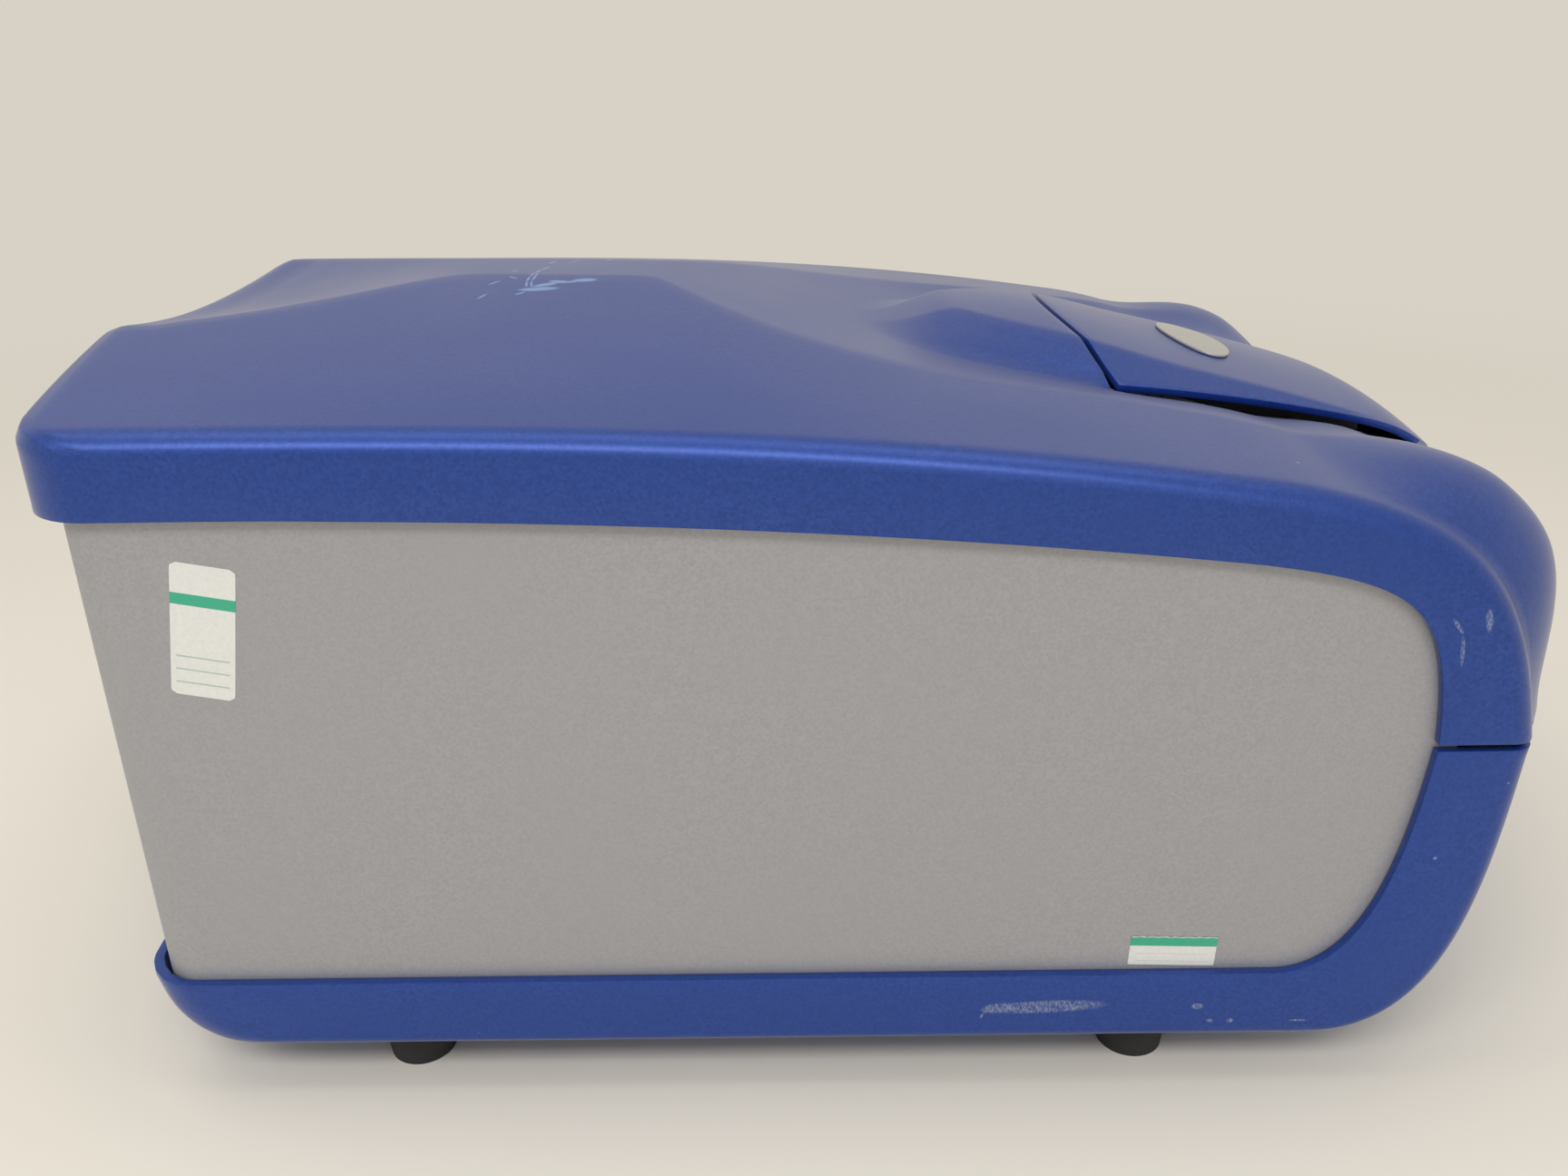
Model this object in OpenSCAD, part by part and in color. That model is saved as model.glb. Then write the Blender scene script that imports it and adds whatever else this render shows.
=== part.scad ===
// Bench-top microarray scanner: a blue moulded top cover and base tray round silver side panels,
// with a rear-hinged lid over the slide bay and the scanning works inside.
// Frame: +Z up, X across, the front faces -Y, and the origin is on the bench under the middle.

/* [Casing] */
// Width over the two side faces
body_w = 326; // [320:1:334]
// Depth from the lid's front edge to the middle of the bowed rear edge
body_d = 458; // [454:1:464]
// Wall of the moulded covers
wall = 3; // [2.5:0.1:3.2]
// Radius of the soft edge round the side faces
edge_r = 8; // [7:0.5:9]
// How far the rear edge bows out at the middle
rear_bow = 18; // [14:1:20]
// Plan radius of the rear corners
corner_r = 18; // [16:0.5:20]
// How far the front bows out at the split line
front_bow = 37; // [34:1:40]
// Height of the split line between the top cover and the base
split_z = 120; // [118:0.5:122]
// Gap along the split line
split_gap = 2; // [1:0.5:3]

/* [Top cover] */
// Height of the side edge of the top cover at the rear
rim_z = 208; // [207:0.5:210]
// How much lower that edge is where the nose begins
rim_drop = 18; // [17:0.5:18.5]
// Height of the lower edge of the side band at the rear
band_z = 191; // [188:0.5:192]
// How much lower the band's edge is where the nose begins
band_drop = 16; // [14:0.5:17]
// Rise of the shoulders for each millimetre in from the edge
shoulder_slope = 0.125; // [0.11:0.005:0.135]
// Depth of the scoop at the rear edge
rear_scoop = 6; // [4:0.5:8]
// Depth of the scoop beside the hood
front_scoop = 10.8; // [10.4:0.1:11.4]

/* [Lid] */
// Length of the lid along its side edge
lid_len = 108; // [106:0.5:109]
// Half width of the lid along its lower edge at the seam
lid_half_w = 70; // [69:0.5:72]
// Half width of the lid's flat top
lid_top_half_w = 57.5; // [57:0.1:58]
// Height of the lid's shoulder line at the seam
lid_z = 208.5; // [208.3:0.1:209.5]
// Gap along the lid's seam
lid_gap = 1.8; // [1.7:0.1:2.4]
// Wall of the lid
lid_wall = 2.6; // [2.2:0.1:2.7]
// Height of the hinge axis
hinge_z = 197; // [196.5:0.1:197.5]
// Distance of the hinge axis behind the seam
hinge_back = 56; // [55:0.5:57]
// Diameter of the hinge pins
hinge_pin_d = 5; // [4:0.5:6]
// Distance of the two hinge arms from the middle
hinge_x = 48; // [47.8:0.1:48.4]
// Thickness of a hinge arm
arm_t = 4; // [3:0.2:4.4]
// Length of the oval badge
badge_l = 58; // [50:1:62]
// Width of the oval badge
badge_w = 22; // [18:1:24]

/* [Base] */
// Height of the base's underside above the bench
foot_h = 17.4; // [16.4:0.2:18]
// Height of the lip that the side panels stand behind
lip_z = 42; // [40:0.5:44]
// Diameter of a rubber foot
foot_d = 24; // [22:0.5:25]
// Distance of the feet from the side faces
foot_inset = 22; // [21:0.5:24]
// Place of the front feet along the depth
front_foot_y = -100; // [-105:1:-95]
// Place of the rear feet along the depth
rear_foot_y = 133; // [128:1:138]

/* [Panels] */
// Thickness of the silver sheet
sheet = 1.5; // [1:0.1:1.8]
// Bend radius of the sheet at the rear corners
bend_r = 14; // [13.7:0.1:14.5]
// How far the sheet's bend returns along the rear
return_w = 22; // [18:1:24]
// Gap between the sheet and the wall in front of it
sheet_gap = 0.3; // [0.2:0.05:0.4]
// Overlap of the sheet behind the covers
sheet_lap = 7; // [5:0.5:8]

/* [Works] */
// Height of the plate that carries the works
plate_z = 60; // [59:0.5:61]
// Thickness of that plate
plate_t = 6; // [5:0.5:7]
// Travel of the slide carriage
travel = 84; // [80:1:84]
// Height of the carriage's top
carriage_z = 150; // [149:0.5:151]
// Half spacing of the carriage rails
rail_x = 27; // [26.8:0.1:27.2]
// Diameter of the carriage rails
rail_d = 8; // [6:0.5:8]
// Height of the carriage rails and the lead screw
rail_z = 131; // [130.6:0.1:131.4]
// Distance of the lead screw from the middle
screw_x = 38.5; // [38.3:0.1:38.7]
// Diameter of the lead screw
screw_d = 6; // [5:0.5:6]
// Running clearance on the radius of rails, pins and screws
run_gap = 0.06; // [0.04:0.01:0.1]
// Width of the slide
slide_w = 25.4; // [25:0.1:25.6]
// Length of the slide
slide_l = 76.2; // [75:0.1:76.6]
// Half stroke of the scan head
head_stroke = 11; // [9:0.5:11]
// Place of the objective along the depth
head_y = -103; // [-104:0.5:-102]
// Side of the square fan
fan_w = 80; // [70:1:80]

/* [Hidden] */
$fn = 48;

half_w = body_w / 2;
front = -body_d / 2;
rear = body_d / 2;
// Where the flat side faces end at the rear of the cover, at the rear of the base and at the split line
side_rear = rear - rear_bow - corner_r;
base_rear = side_rear - 0.5;
chin_y = front + front_bow;
// Seam of the lid at the sides, its rearward bow at the middle, and the lid's forward bow at the front
seam_y = front + 24 + lid_len;
seam_bow = 11;
lid_bow = 24;
// Where the nose begins to turn down
nose_y = seam_y - 17;
floor_z = foot_h + wall;
hinge_y = seam_y + hinge_back;
blue = "#3b4fa0";
silver = "#b4b4b4";
black = "#1c1c1e";
metal = "#c4c8cc";
dark_metal = "#4a4d52";
brass = "#b58b3a";
board_green = "#1f5b3a";

function mix(a, b, t) = a + (b - a) * t;
function ramp(a, b, v) = min(1, max(0, (v - a) / (b - a)));
function smooth(a, b, v) = let (t = ramp(a, b, v)) t * t * (3 - 2 * t);
function bezier(p, t) = p[0] * pow(1 - t, 3) + p[1] * 3 * t * pow(1 - t, 2)
    + p[2] * 3 * t * t * (1 - t) + p[3] * pow(t, 3);
function tangent(p, t) = let (v = (p[1] - p[0]) * pow(1 - t, 2) + (p[2] - p[1]) * 2 * t * (1 - t)
    + (p[3] - p[2]) * t * t) v / norm(v);
function unit(v) = v / norm(v);
function levelled(v, t) = unit([v[0], mix(v[1], 0, t)]);

// Side view of the top cover: the edge of the side face, and the band's lower edge
function rim_height(y) = rim_z - rim_drop * pow(max(0, (side_rear - y) / (side_rear - nose_y)), 2.6);
function band_height(y) = band_z - band_drop * pow(max(0, (side_rear - y) / (side_rear - nose_y)), 2.2);
nose_rim = [[nose_y, rim_height(nose_y)], [nose_y - 54, rim_height(nose_y) - 7.5],
    [chin_y + 8, split_z + 43], [chin_y, split_z]];
nose_band = [[nose_y, band_height(nose_y)], [nose_y - 44, band_height(nose_y) - 6],
    [chin_y + 24, split_z + 42], [chin_y + 21, split_z]];
// Side view of the base: the same two lines carried on down the apron to the flat bottom
bottom_r = 4;
apron_rim = [[chin_y, split_z - split_gap], [chin_y + 2, 75], [chin_y + 4, foot_h + bottom_r],
    [chin_y + 44, foot_h + bottom_r]];
apron_band = [[chin_y + 21, split_z - split_gap], [chin_y + 23.5, 85], [chin_y + 29, lip_z],
    [chin_y + 57, lip_z]];

// Plan of the top: the crest of the scoops, the foot of the hood and the edge of the hood's top
hood_tip = seam_y + 81;
function crest_x(y) = 20 + 54 * smooth(hood_tip + 118, rear + 10, y)
    + (y < hood_tip + 71 ? 82 * (1 - exp((y - hood_tip - 71) / 50)) : 0);
function hood_foot_x(y) = y > seam_y ? lid_half_w * max(0, 1 - exp((y - hood_tip) / 22))
    : lid_half_w - 0.13 * (seam_y - y);
function hood_top_x(y) = lid_top_half_w * max(0, 1 - exp((y - seam_y - 55) / 32));
function hood_lead(y) = y > seam_y ? 0.3 * crest_x(y) * smooth(seam_y, hood_tip, y) : 0;
function foot_x(y) = sqrt(pow(hood_foot_x(y), 2) + pow(hood_lead(y), 2));
function top_x(y) = max(min(hood_top_x(y), foot_x(y) - 3), 0.35 * foot_x(y));

// Height of the hood and of the lid, which carry on in one surface
function hood_edge_z(y) = let (d = seam_y - y) lid_z - 0.19 * d - 0.00066 * d * d
    - 0.008 * pow(max(0, d - lid_len + 13), 2);
function hood_crown(y) = 3 + 4.5 * exp(-pow((seam_y - y) / 40, 2));
function hood_drop(y) = max(2.6, 8.6 - 0.072 * max(0, seam_y - y));
function hood_z(s, y, e, f) = s > e ? hood_edge_z(y) - hood_drop(y) * (s - e) / (f - e)
    : hood_edge_z(y) + hood_crown(y) * (1 - pow(s / e, 2));

// Height of the top cover above its rim at a distance s from the middle
function shoulder_h(s, y) = edge_r + mix(0.05, shoulder_slope, smooth(seam_y + 45, hood_tip + 65, y))
    * max(0, half_w - edge_r - s);
function scoop_h(s, y) = let (c = crest_x(y)) shoulder_h(max(s, c), y) - (s < c ? 1 - pow(s / c, 2) : 0)
    * (rear_scoop * smooth(hood_tip + 130, rear, y)
    + front_scoop * pow(ramp(hood_tip + 40, seam_y, y), 2));
function hood_rise(y) = smooth(hood_tip, hood_tip - 42, y);
function top_h(s, y, shift, hood) = let (base = scoop_h(s, y), rise = hood * hood_rise(y), f = foot_x(y))
    s < f && rise > 0 ? mix(base, hood_z(s, y + shift, top_x(y), f) - rim_height(y), rise) : base;
// Extra depth under the lid, so that its edge stays clear
function lid_dip(s, y) = mix(1.2, 3.2, ramp(seam_y - 20, seam_y - 57, y))
    * smooth(foot_x(y) + 7, foot_x(y) - 1, s);
function bow_h(s, bow, full) = edge_r + (bow - edge_r) * (1 - pow(min(1, s / (half_w - edge_r)), full));
function rear_h(s, bow) = bow * (1 - pow(s / half_w, 2))
    + (s > half_w - corner_r ? sqrt(max(0, corner_r * corner_r - pow(s - half_w + corner_r, 2))) : corner_r);

// One row of the top cover's net: columns run from the side's lower edge to the middle and across
edge_steps = [0, 30, 60, 90];
function edge_s(r) = [for (a = edge_steps) half_w - r * (1 - cos(a))];
edge_h = [for (a = edge_steps) sin(a)];
last_edge = len(edge_steps) - 1;
function cover_s(y, e) = let (c = crest_x(y), f = foot_x(y), b = half_w - edge_r)
    concat(edge_s(edge_r), [b - 9, (b - 9 + c) / 2, c, (c + f) / 2, f, e, 0.66 * e, 0.33 * e, 0]);
function both_sides(half) = concat(half,
    [for (i = [len(half) - 2 : -1 : 0]) [-half[i][0], half[i][1], half[i][2]]]);
function seam_shift(s, y) = let (f = foot_x(y)) s < f ? seam_bow * (1 - pow(s / f, 2))
    * (y > seam_y ? smooth(hood_tip, seam_y, y) : smooth(seam_y - 26, seam_y, y)) : 0;

// Rows on the rear face, up from the skirt's lower edge: share of the height, and step in from the rear
rear_steps = [[0, 0], [0.5, 0], [0.8, 0], [0.95, 2], [1, 7]];
function rear_row(i) = let (share = rear_steps[i][0], y0 = side_rear - rear_steps[i][1],
        s = cover_s(rear, top_x(rear)))
    both_sides(concat([[-half_w, side_rear - 8 - 6 * i, band_z]],
        [for (k = [0 : len(s) - 1]) [-s[k], y0 + rear_h(s[k], rear_bow),
            mix(band_z, rim_z + (k <= last_edge ? edge_r * edge_h[k] : scoop_h(s[k], rear)), share)]]));
// Rows along the top, each bowed less than the one behind it
top_ys = [for (y = [side_rear - 22 : -16 : hood_tip + 50]) y];
hood_ys = [for (i = [0 : 9]) mix(hood_tip + 44, seam_y + 12, i / 9)];
function top_row(y, hood, e) = let (s = cover_s(y, e), bow = smooth(hood_tip + 60, side_rear, y))
    both_sides(concat([[-half_w, y - (y > side_rear - 40 ? 12 : 0), band_height(y)]],
        [for (k = [0 : len(s) - 1]) let (shift = seam_shift(s[k], y))
            [-s[k], y + bow * rear_h(s[k], rear_bow) + shift,
                rim_height(y) + (k <= last_edge ? edge_r * edge_h[k]
                    : top_h(s[k], y, shift, hood) - (1 - hood) * lid_dip(s[k], y))]]));
// Rows round the nose, square to its side view, with a rebate under the lid
nose_rows = 14;
open_x = 54;
function nose_row(i) = let (t = i / nose_rows, k0 = bezier(nose_rim, t), d = tangent(nose_rim, t),
        e = bezier(nose_band, t), n = levelled([d[1], -d[0]], smooth(0.7, 1, t)),
        y = max(k0[0], nose_y - 40), s = cover_s(y, open_x), w = smooth(0.15, 0.55, t),
        bow = mix(front_bow - 4, front_bow + 3, smooth(0.45, 0.75, t)) - 3 * smooth(0.75, 1, t),
        full = mix(9, 4.5, smooth(0.6, 1, t)), rebate = 14 * (1 - smooth(0.6, 0.85, t)),
        dip = 1 - smooth(0.42, 0.57, t))
    both_sides(concat([[-half_w, e[0], e[1]]],
        [for (k = [0 : len(s) - 1]) let (h = k <= last_edge ? edge_r * edge_h[k] : mix(top_h(s[k], y, 0, 0),
            bow_h(s[k], bow, full) - rebate * smooth(135, 74, s[k]), w) - dip * lid_dip(s[k], y))
            [-s[k], k0[0] + n[0] * h, k0[1] + n[1] * h]]));
cover_net = concat([for (i = [0 : len(rear_steps) - 1]) rear_row(i)],
    [for (y = concat(top_ys, hood_ys, [seam_y + lid_gap])) top_row(y, 1, top_x(y))],
    [for (y = [seam_y + 1.2, seam_y - 8]) top_row(y, 0, open_x)],
    [for (i = [0 : nose_rows]) nose_row(i)]);

// A closed wall behind a net of points, with an optional opening [first row, last row, first column]
function net_normal(net, r, c, flat) = let (m = len(net) - 1, n = len(net[0]) - 1)
    flat && (c == 0 || c == n) ? [c == 0 ? -1 : 1, 0, 0]
    : unit(cross(net[min(m, r + 1)][c] - net[max(0, r - 1)][c],
        net[r][min(n, c + 1)] - net[r][max(0, c - 1)]));
function quad(a, b, c, d) = [[a, b, c], [a, c, d]];
function leans(net, r, c) = norm(net[r][c] - net[r + 1][c + 1]) > norm(net[r][c + 1] - net[r + 1][c]);
module net_wall(net, t, flat = true, opening = [0, 0, 0]) {
    rows = len(net);
    cols = len(net[0]);
    inner = [for (r = [0 : rows - 1]) [for (c = [0 : cols - 1]) net[r][c] - t * net_normal(net, r, c, flat)]];
    points = concat([for (r = net) each r], [for (r = inner) each r]);
    in = rows * cols;
    r0 = opening[0];
    r1 = opening[1];
    c0 = opening[2];
    c1 = cols - 1 - c0;
    open = r1 > r0;
    function at(r, c) = r * cols + c;
    skin = [for (r = [0 : rows - 2], c = [0 : cols - 2])
        if (!(open && r >= r0 && r < r1 && c >= c0 && c < c1))
            let (a = at(r, c), b = at(r, c + 1), d = at(r + 1, c + 1), e = at(r + 1, c))
            each leans(net, r, c) ? concat(quad(b, d, e, a), quad(b + in, a + in, e + in, d + in))
                : concat(quad(a, b, d, e), quad(a + in, e + in, d + in, b + in))];
    ends = [for (c = [0 : cols - 2]) let (a = at(0, c), b = at(0, c + 1), d = at(rows - 1, c),
            e = at(rows - 1, c + 1)) each concat(quad(b, a, a + in, b + in), quad(d, e, e + in, d + in))];
    sides = [for (r = [0 : rows - 2]) let (a = at(r, 0), b = at(r + 1, 0), d = at(r, cols - 1),
            e = at(r + 1, cols - 1)) each concat(quad(a, b, b + in, a + in), quad(e, d, d + in, e + in))];
    hole_ends = !open ? [] : [for (c = [c0 : c1 - 1]) let (a = at(r0, c), b = at(r0, c + 1), d = at(r1, c),
            e = at(r1, c + 1)) each concat(quad(a, b, b + in, a + in), quad(e, d, d + in, e + in))];
    hole_sides = !open ? [] : [for (r = [r0 : r1 - 1]) let (a = at(r, c0), b = at(r + 1, c0), d = at(r, c1),
            e = at(r + 1, c1)) each concat(quad(b, a, a + in, b + in), quad(d, e, e + in, d + in))];
    polyhedron(points, concat(skin, ends, sides, hole_ends, hole_sides));
}

// Moulded top cover with its shoulders, scoops, hood and nose; the bay opens in front of the hood
seam_row = len(rear_steps) + len(top_ys) + len(hood_ys) + 1;
open_rows = 10;
open_col = last_edge + 7;
module top_cover() {
    color(blue) net_wall(cover_net, wall, true, [seam_row, seam_row + open_rows, open_col]);
}

// Base tray: rows down the apron, along the flat bottom and up the rear lip, with a tighter bottom edge
apron_rows = 10;
base_r = lip_z - foot_h - 2;
function base_s(r) = let (b = half_w - edge_r - 4)
    concat(edge_s(r), [(half_w - r + b) / 2, b, b - 4, 118, 84, 42, 0]);
function apron_row(i) = let (t = i / apron_rows, k0 = bezier(apron_rim, t), d = tangent(apron_rim, t),
        e = bezier(apron_band, t), n = levelled([d[1], -d[0]], smooth(0.3, 0, t)), w = smooth(0.3, 0.95, t),
        r = mix(edge_r, bottom_r, t), s = base_s(r))
    both_sides(concat([[-half_w, e[0], e[1]]],
        [for (k = [0 : len(s) - 1]) let (h = k <= last_edge ? r * edge_h[k]
            : mix(bow_h(s[k], mix(front_bow, 24, t), 4.5), r, w))
            [-s[k], k0[0] + n[0] * h, k0[1] + n[1] * h]]));
function bottom_z(k) = foot_h + bottom_r * (k <= last_edge ? 1 - edge_h[k] : 0);
function bottom_row(y) = let (s = base_s(bottom_r)) both_sides(concat([[-half_w, y, lip_z]],
    [for (k = [0 : len(s) - 1]) [-s[k], y, bottom_z(k)]]));
function base_rear_row(a, i) = let (s = base_s(bottom_r))
    both_sides(concat([[-half_w, base_rear - 30 + 5 * i, lip_z]],
        [for (k = [0 : len(s) - 1]) [-s[k], base_rear + rear_h(s[k], 6) - base_r * (1 - sin(a)),
        mix(bottom_z(k), lip_z, a < 90 ? (1 - cos(a)) * base_r / (base_r + 2) : 1)]]));
base_net = concat([for (i = [0 : apron_rows]) apron_row(i)],
    [for (y = [-70, 20, 90, base_rear - 48]) bottom_row(y)],
    [for (i = [0 : 4]) base_rear_row([2, 24, 46, 68, 90][i], i)]);
foot_dx = half_w - foot_inset;
foot_places = [[-foot_dx, front_foot_y], [foot_dx, front_foot_y], [-foot_dx, rear_foot_y],
    [foot_dx, rear_foot_y]];
foot_bore = 2.25;
module base_tray() {
    color(blue) difference() {
        net_wall(base_net, wall);
        for (p = foot_places) translate([p[0], p[1], foot_h - 1])
            cylinder(h = wall + 2, r = foot_bore, $fn = 32);
    }
}

// Silver side panel: one sheet cut to the covers' edges and bent round the rear corner
side_x = half_w - wall - sheet_gap;
rear_face = base_rear + corner_r - 4.5;
panel_low = lip_z - sheet_lap;
panel_high = band_z + sheet_lap;
bend_y = rear_face - bend_r;
function lapped(p, t) = let (d = tangent(p, t)) bezier(p, t) + sheet_lap * [d[1], -d[0]];
panel_outline = concat([[bend_y, panel_low], [bend_y, panel_high]],
    [for (i = [1 : 8]) let (y = mix(bend_y, nose_y, i / 8)) [y, band_height(y) + sheet_lap]],
    [for (i = [1 : 8]) lapped(nose_band, i / 8)], [for (i = [1 : 8]) lapped(apron_band, i / 8)]);
module side_panel() {
    translate([-side_x, 0, 0]) rotate([90, 0, 90]) linear_extrude(sheet) polygon(panel_outline);
    translate([-side_x + bend_r, bend_y, panel_low]) rotate([0, 0, 90])
        rotate_extrude(angle = 90) translate([bend_r - sheet, 0]) square([sheet, panel_high - panel_low]);
    translate([-side_x + bend_r, rear_face - sheet, panel_low])
        cube([return_w - bend_r, sheet, panel_high - panel_low]);
}
module left_side_panel() {
    color(silver) side_panel();
}
module right_side_panel() {
    color(silver) mirror([1, 0, 0]) side_panel();
}

// Rear panel between the bends, cut for the power entry, the data port and the fan
rear_half = side_x - return_w - 0.4;
entry_x = -92;
entry_z = 84;
entry_w = 62;
entry_h = 26;
port_x = -20;
port_w = 14;
port_h = 12;
port_t = 1.5;
fan_x = 78;
fan_z = 114;
fan_bore = fan_w / 2 - 2;
fan_hole = fan_w / 2 - 4.5;
module rear_panel() {
    color(silver) difference() {
        translate([-rear_half, rear_face - sheet, panel_low])
            cube([2 * rear_half, sheet, panel_high - panel_low]);
        translate([entry_x - entry_w / 2 - 0.2, rear_face - 5, entry_z - entry_h / 2 - 0.2])
            cube([entry_w + 0.4, 10, entry_h + 0.4]);
        translate([port_x - port_w / 2 - 0.2, rear_face - 5, entry_z - port_h / 2 - 0.2])
            cube([port_w + 0.4, 10, port_h + 0.4]);
        translate([fan_x, rear_face + 5, fan_z]) rotate([90, 0, 0]) cylinder(h = 10, r = fan_bore);
        for (x = [-1, 1], z = [-1, 1]) translate([fan_x + x * fan_hole, rear_face + 5, fan_z + z * fan_hole])
            rotate([90, 0, 0]) cylinder(h = 10, r = 2, $fn = 24);
    }
}

// Lid: carries the hood's surface on to the front, bowed rearward at the seam and forward at the front
lid_rows = 16;
lid_start = 0.6;
function lid_point(s, d, lift) = let (y0 = seam_y - d, f = foot_x(y0), e = top_x(y0),
        y = y0 + mix(seam_bow, -lid_bow, d / lid_len) * (1 - pow(s / f, 2)))
    [-s, y, hood_z(s, y, e, f) + lift];
function lid_row(i) = let (d = mix(lid_start, lid_len, i / lid_rows), f = foot_x(seam_y - d),
        e = top_x(seam_y - d))
    both_sides([for (s = [f, (e + f) / 2, e, 0.8 * e, 0.55 * e, 0.28 * e, 0]) lid_point(s, d, 0)]);
module lid() {
    color(blue) net_wall([for (i = [0 : lid_rows]) lid_row(i)], lid_wall, false);
}
// Plain oval badge that follows the lid's crown: a square net pressed into an oval
badge_d = 42;
badge_t = 0.9;
badge_n = 8;
function badge_row(i) = let (v = 2 * i / badge_n - 1) [for (j = [0 : badge_n]) let (u = 2 * j / badge_n - 1,
        s = badge_l / 2 * u * sqrt(1 - v * v / 2), d = badge_d + 0.38 * badge_w * v * sqrt(1 - u * u / 2),
        p = lid_point(abs(s), d, badge_t + 0.25)) [s, p[1], p[2]]];
module lid_badge() {
    color(metal) net_wall([for (i = [0 : badge_n]) badge_row(i)], badge_t, false);
}

// Gooseneck hinge: arms that dip under the hood, pins fixed in brackets that stand on the plate
arm_path = [[0, 0], [-5, -30], [-14, -50], [-30, -55], [-48, -46], [-60, -32], [-66, -14], [-66, 1]];
arm_w = 8;
boss_r = 6;
function path_side(p, i) = let (d = unit(p[min(len(p) - 1, i + 1)] - p[max(0, i - 1)])) [d[1], -d[0]];
function ribbon(p, w) = concat([for (i = [0 : len(p) - 1]) p[i] + w / 2 * path_side(p, i)],
    [for (i = [len(p) - 1 : -1 : 0]) p[i] - w / 2 * path_side(p, i)]);
arm_y = hinge_y - 66;
arm_top = lid_point(hinge_x + arm_t / 2, seam_y - arm_y + 8, 0)[2] - lid_wall - 0.7;
pin_bore = hinge_pin_d / 2 + run_gap;
module lid_hinge_arms() {
    color(dark_metal) for (side = [0, 1]) mirror([side, 0, 0]) {
        difference() {
            translate([hinge_x - arm_t / 2, hinge_y, hinge_z]) rotate([90, 0, 90]) linear_extrude(arm_t) {
                polygon(ribbon(arm_path, arm_w));
                circle(r = boss_r);
            }
            translate([hinge_x - arm_t, hinge_y, hinge_z]) rotate([0, 90, 0])
                cylinder(h = 2 * arm_t, r = pin_bore);
        }
        translate([hinge_x - arm_t / 2, arm_y - 5, hinge_z]) cube([arm_t, 10, arm_top - hinge_z]);
    }
}
arm_in = hinge_x - arm_t / 2;
pin_head = 1.2;
bracket_x = hinge_x + arm_t / 2 + 0.6;
bracket_t = 5;
bracket_w = 30;
bracket_h = 90;
bracket_foot = 24;
works_z = plate_z + plate_t;
module lid_hinge_pins() {
    color(metal) for (side = [0, 1]) mirror([side, 0, 0])
        translate([arm_in - 0.4, hinge_y, hinge_z]) rotate([0, 90, 0]) {
            cylinder(h = bracket_x + bracket_t - arm_in + 0.4, d = hinge_pin_d);
            translate([0, 0, -pin_head]) cylinder(h = pin_head, d = hinge_pin_d + 3);
        }
}
module lid_hinge_brackets() {
    color(dark_metal) for (side = [0, 1]) mirror([side, 0, 0]) difference() {
        union() {
            translate([bracket_x, hinge_y - bracket_w / 2, works_z]) cube([bracket_t, bracket_w, bracket_h]);
            translate([bracket_x, hinge_y, works_z + bracket_h]) rotate([90, 0, 90]) linear_extrude(bracket_t)
                polygon([[-bracket_w / 2, 0], [bracket_w / 2, 0], [boss_r, hinge_z - works_z - bracket_h],
                    [-boss_r, hinge_z - works_z - bracket_h]]);
            translate([bracket_x, hinge_y, hinge_z]) rotate([0, 90, 0]) cylinder(h = bracket_t, r = boss_r);
            translate([bracket_x, hinge_y - bracket_w / 2, works_z])
                cube([bracket_foot, bracket_w, bracket_t]);
        }
        translate([bracket_x - 1, hinge_y, hinge_z]) rotate([0, 90, 0])
            cylinder(h = bracket_t + 2, r = pin_bore);
        translate([bracket_x + 15, hinge_y, works_z - 1]) cylinder(h = bracket_t + 2, r = 2.5, $fn = 24);
    }
}

// Black surround of the slide bay with a seal on its sloping top edge
bay_x = 43;
bay_t = 2;
bay_front = seam_y - 91;
bay_back = seam_y - 17;
bay_low = 160;
bay_high_back = lid_z - 7;
bay_high_front = lid_z - 27;
seal_t = 1.6;
flange_x = 60;
flange_back = bay_back - 2;
flange_front = bay_front + 4;
flange_z = rim_height(flange_back) - 2.7;
flange_fall = 13.5;
function bay_top(y) = mix(bay_high_front, bay_high_back, (y - bay_front) / (bay_back - bay_front));
module bay_ring(low, outline) {
    for (side = [0, 1]) mirror([side, 0, 0]) translate([bay_x, 0, 0]) rotate([90, 0, 90])
        linear_extrude(bay_t) polygon(outline);
    translate([-bay_x, bay_front, low[0]]) cube([2 * bay_x, bay_t, low[2]]);
    translate([-bay_x, bay_back - bay_t, low[1]]) cube([2 * bay_x, bay_t, low[3]]);
}
module bay_surround() {
    color(black) {
        bay_ring([bay_low, bay_low, bay_high_front - bay_low, bay_high_back - bay_low],
            [[bay_front, bay_low], [bay_back, bay_low], [bay_back, bay_high_back],
                [bay_front, bay_high_front]]);
        for (side = [0, 1]) mirror([side, 0, 0]) translate([bay_x + bay_t, 0, 0]) rotate([90, 0, 90])
            linear_extrude(flange_x - bay_x - bay_t) polygon([[flange_back, flange_z],
                [flange_front, flange_z - flange_fall], [flange_front, flange_z - flange_fall - bay_t],
                [flange_back, flange_z - bay_t]]);
    }
}
module bay_seal() {
    color(black) bay_ring([bay_high_front, bay_high_back, seal_t, seal_t],
        [[bay_front, bay_high_front], [bay_back, bay_high_back], [bay_back, bay_high_back + seal_t],
            [bay_front, bay_high_front + seal_t]]);
}
// Lid interlock: a magnet under the lid and a reed sensor below it on the surround's flange
lock_x = 49.5;
lock_y = seam_y - 53;
function flange_top(y) = flange_z - flange_fall * (flange_back - y) / (flange_back - flange_front);
module lid_magnet() {
    color(metal) translate([lock_x, lock_y, hood_edge_z(lock_y - 3) - lid_wall - 3.4]) cylinder(h = 3, r = 3);
}
module lid_sensor() {
    color(black) translate([lock_x - 3, lock_y - 7, flange_top(lock_y + 7) + 0.1]) cube([6, 14, 5]);
}

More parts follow.
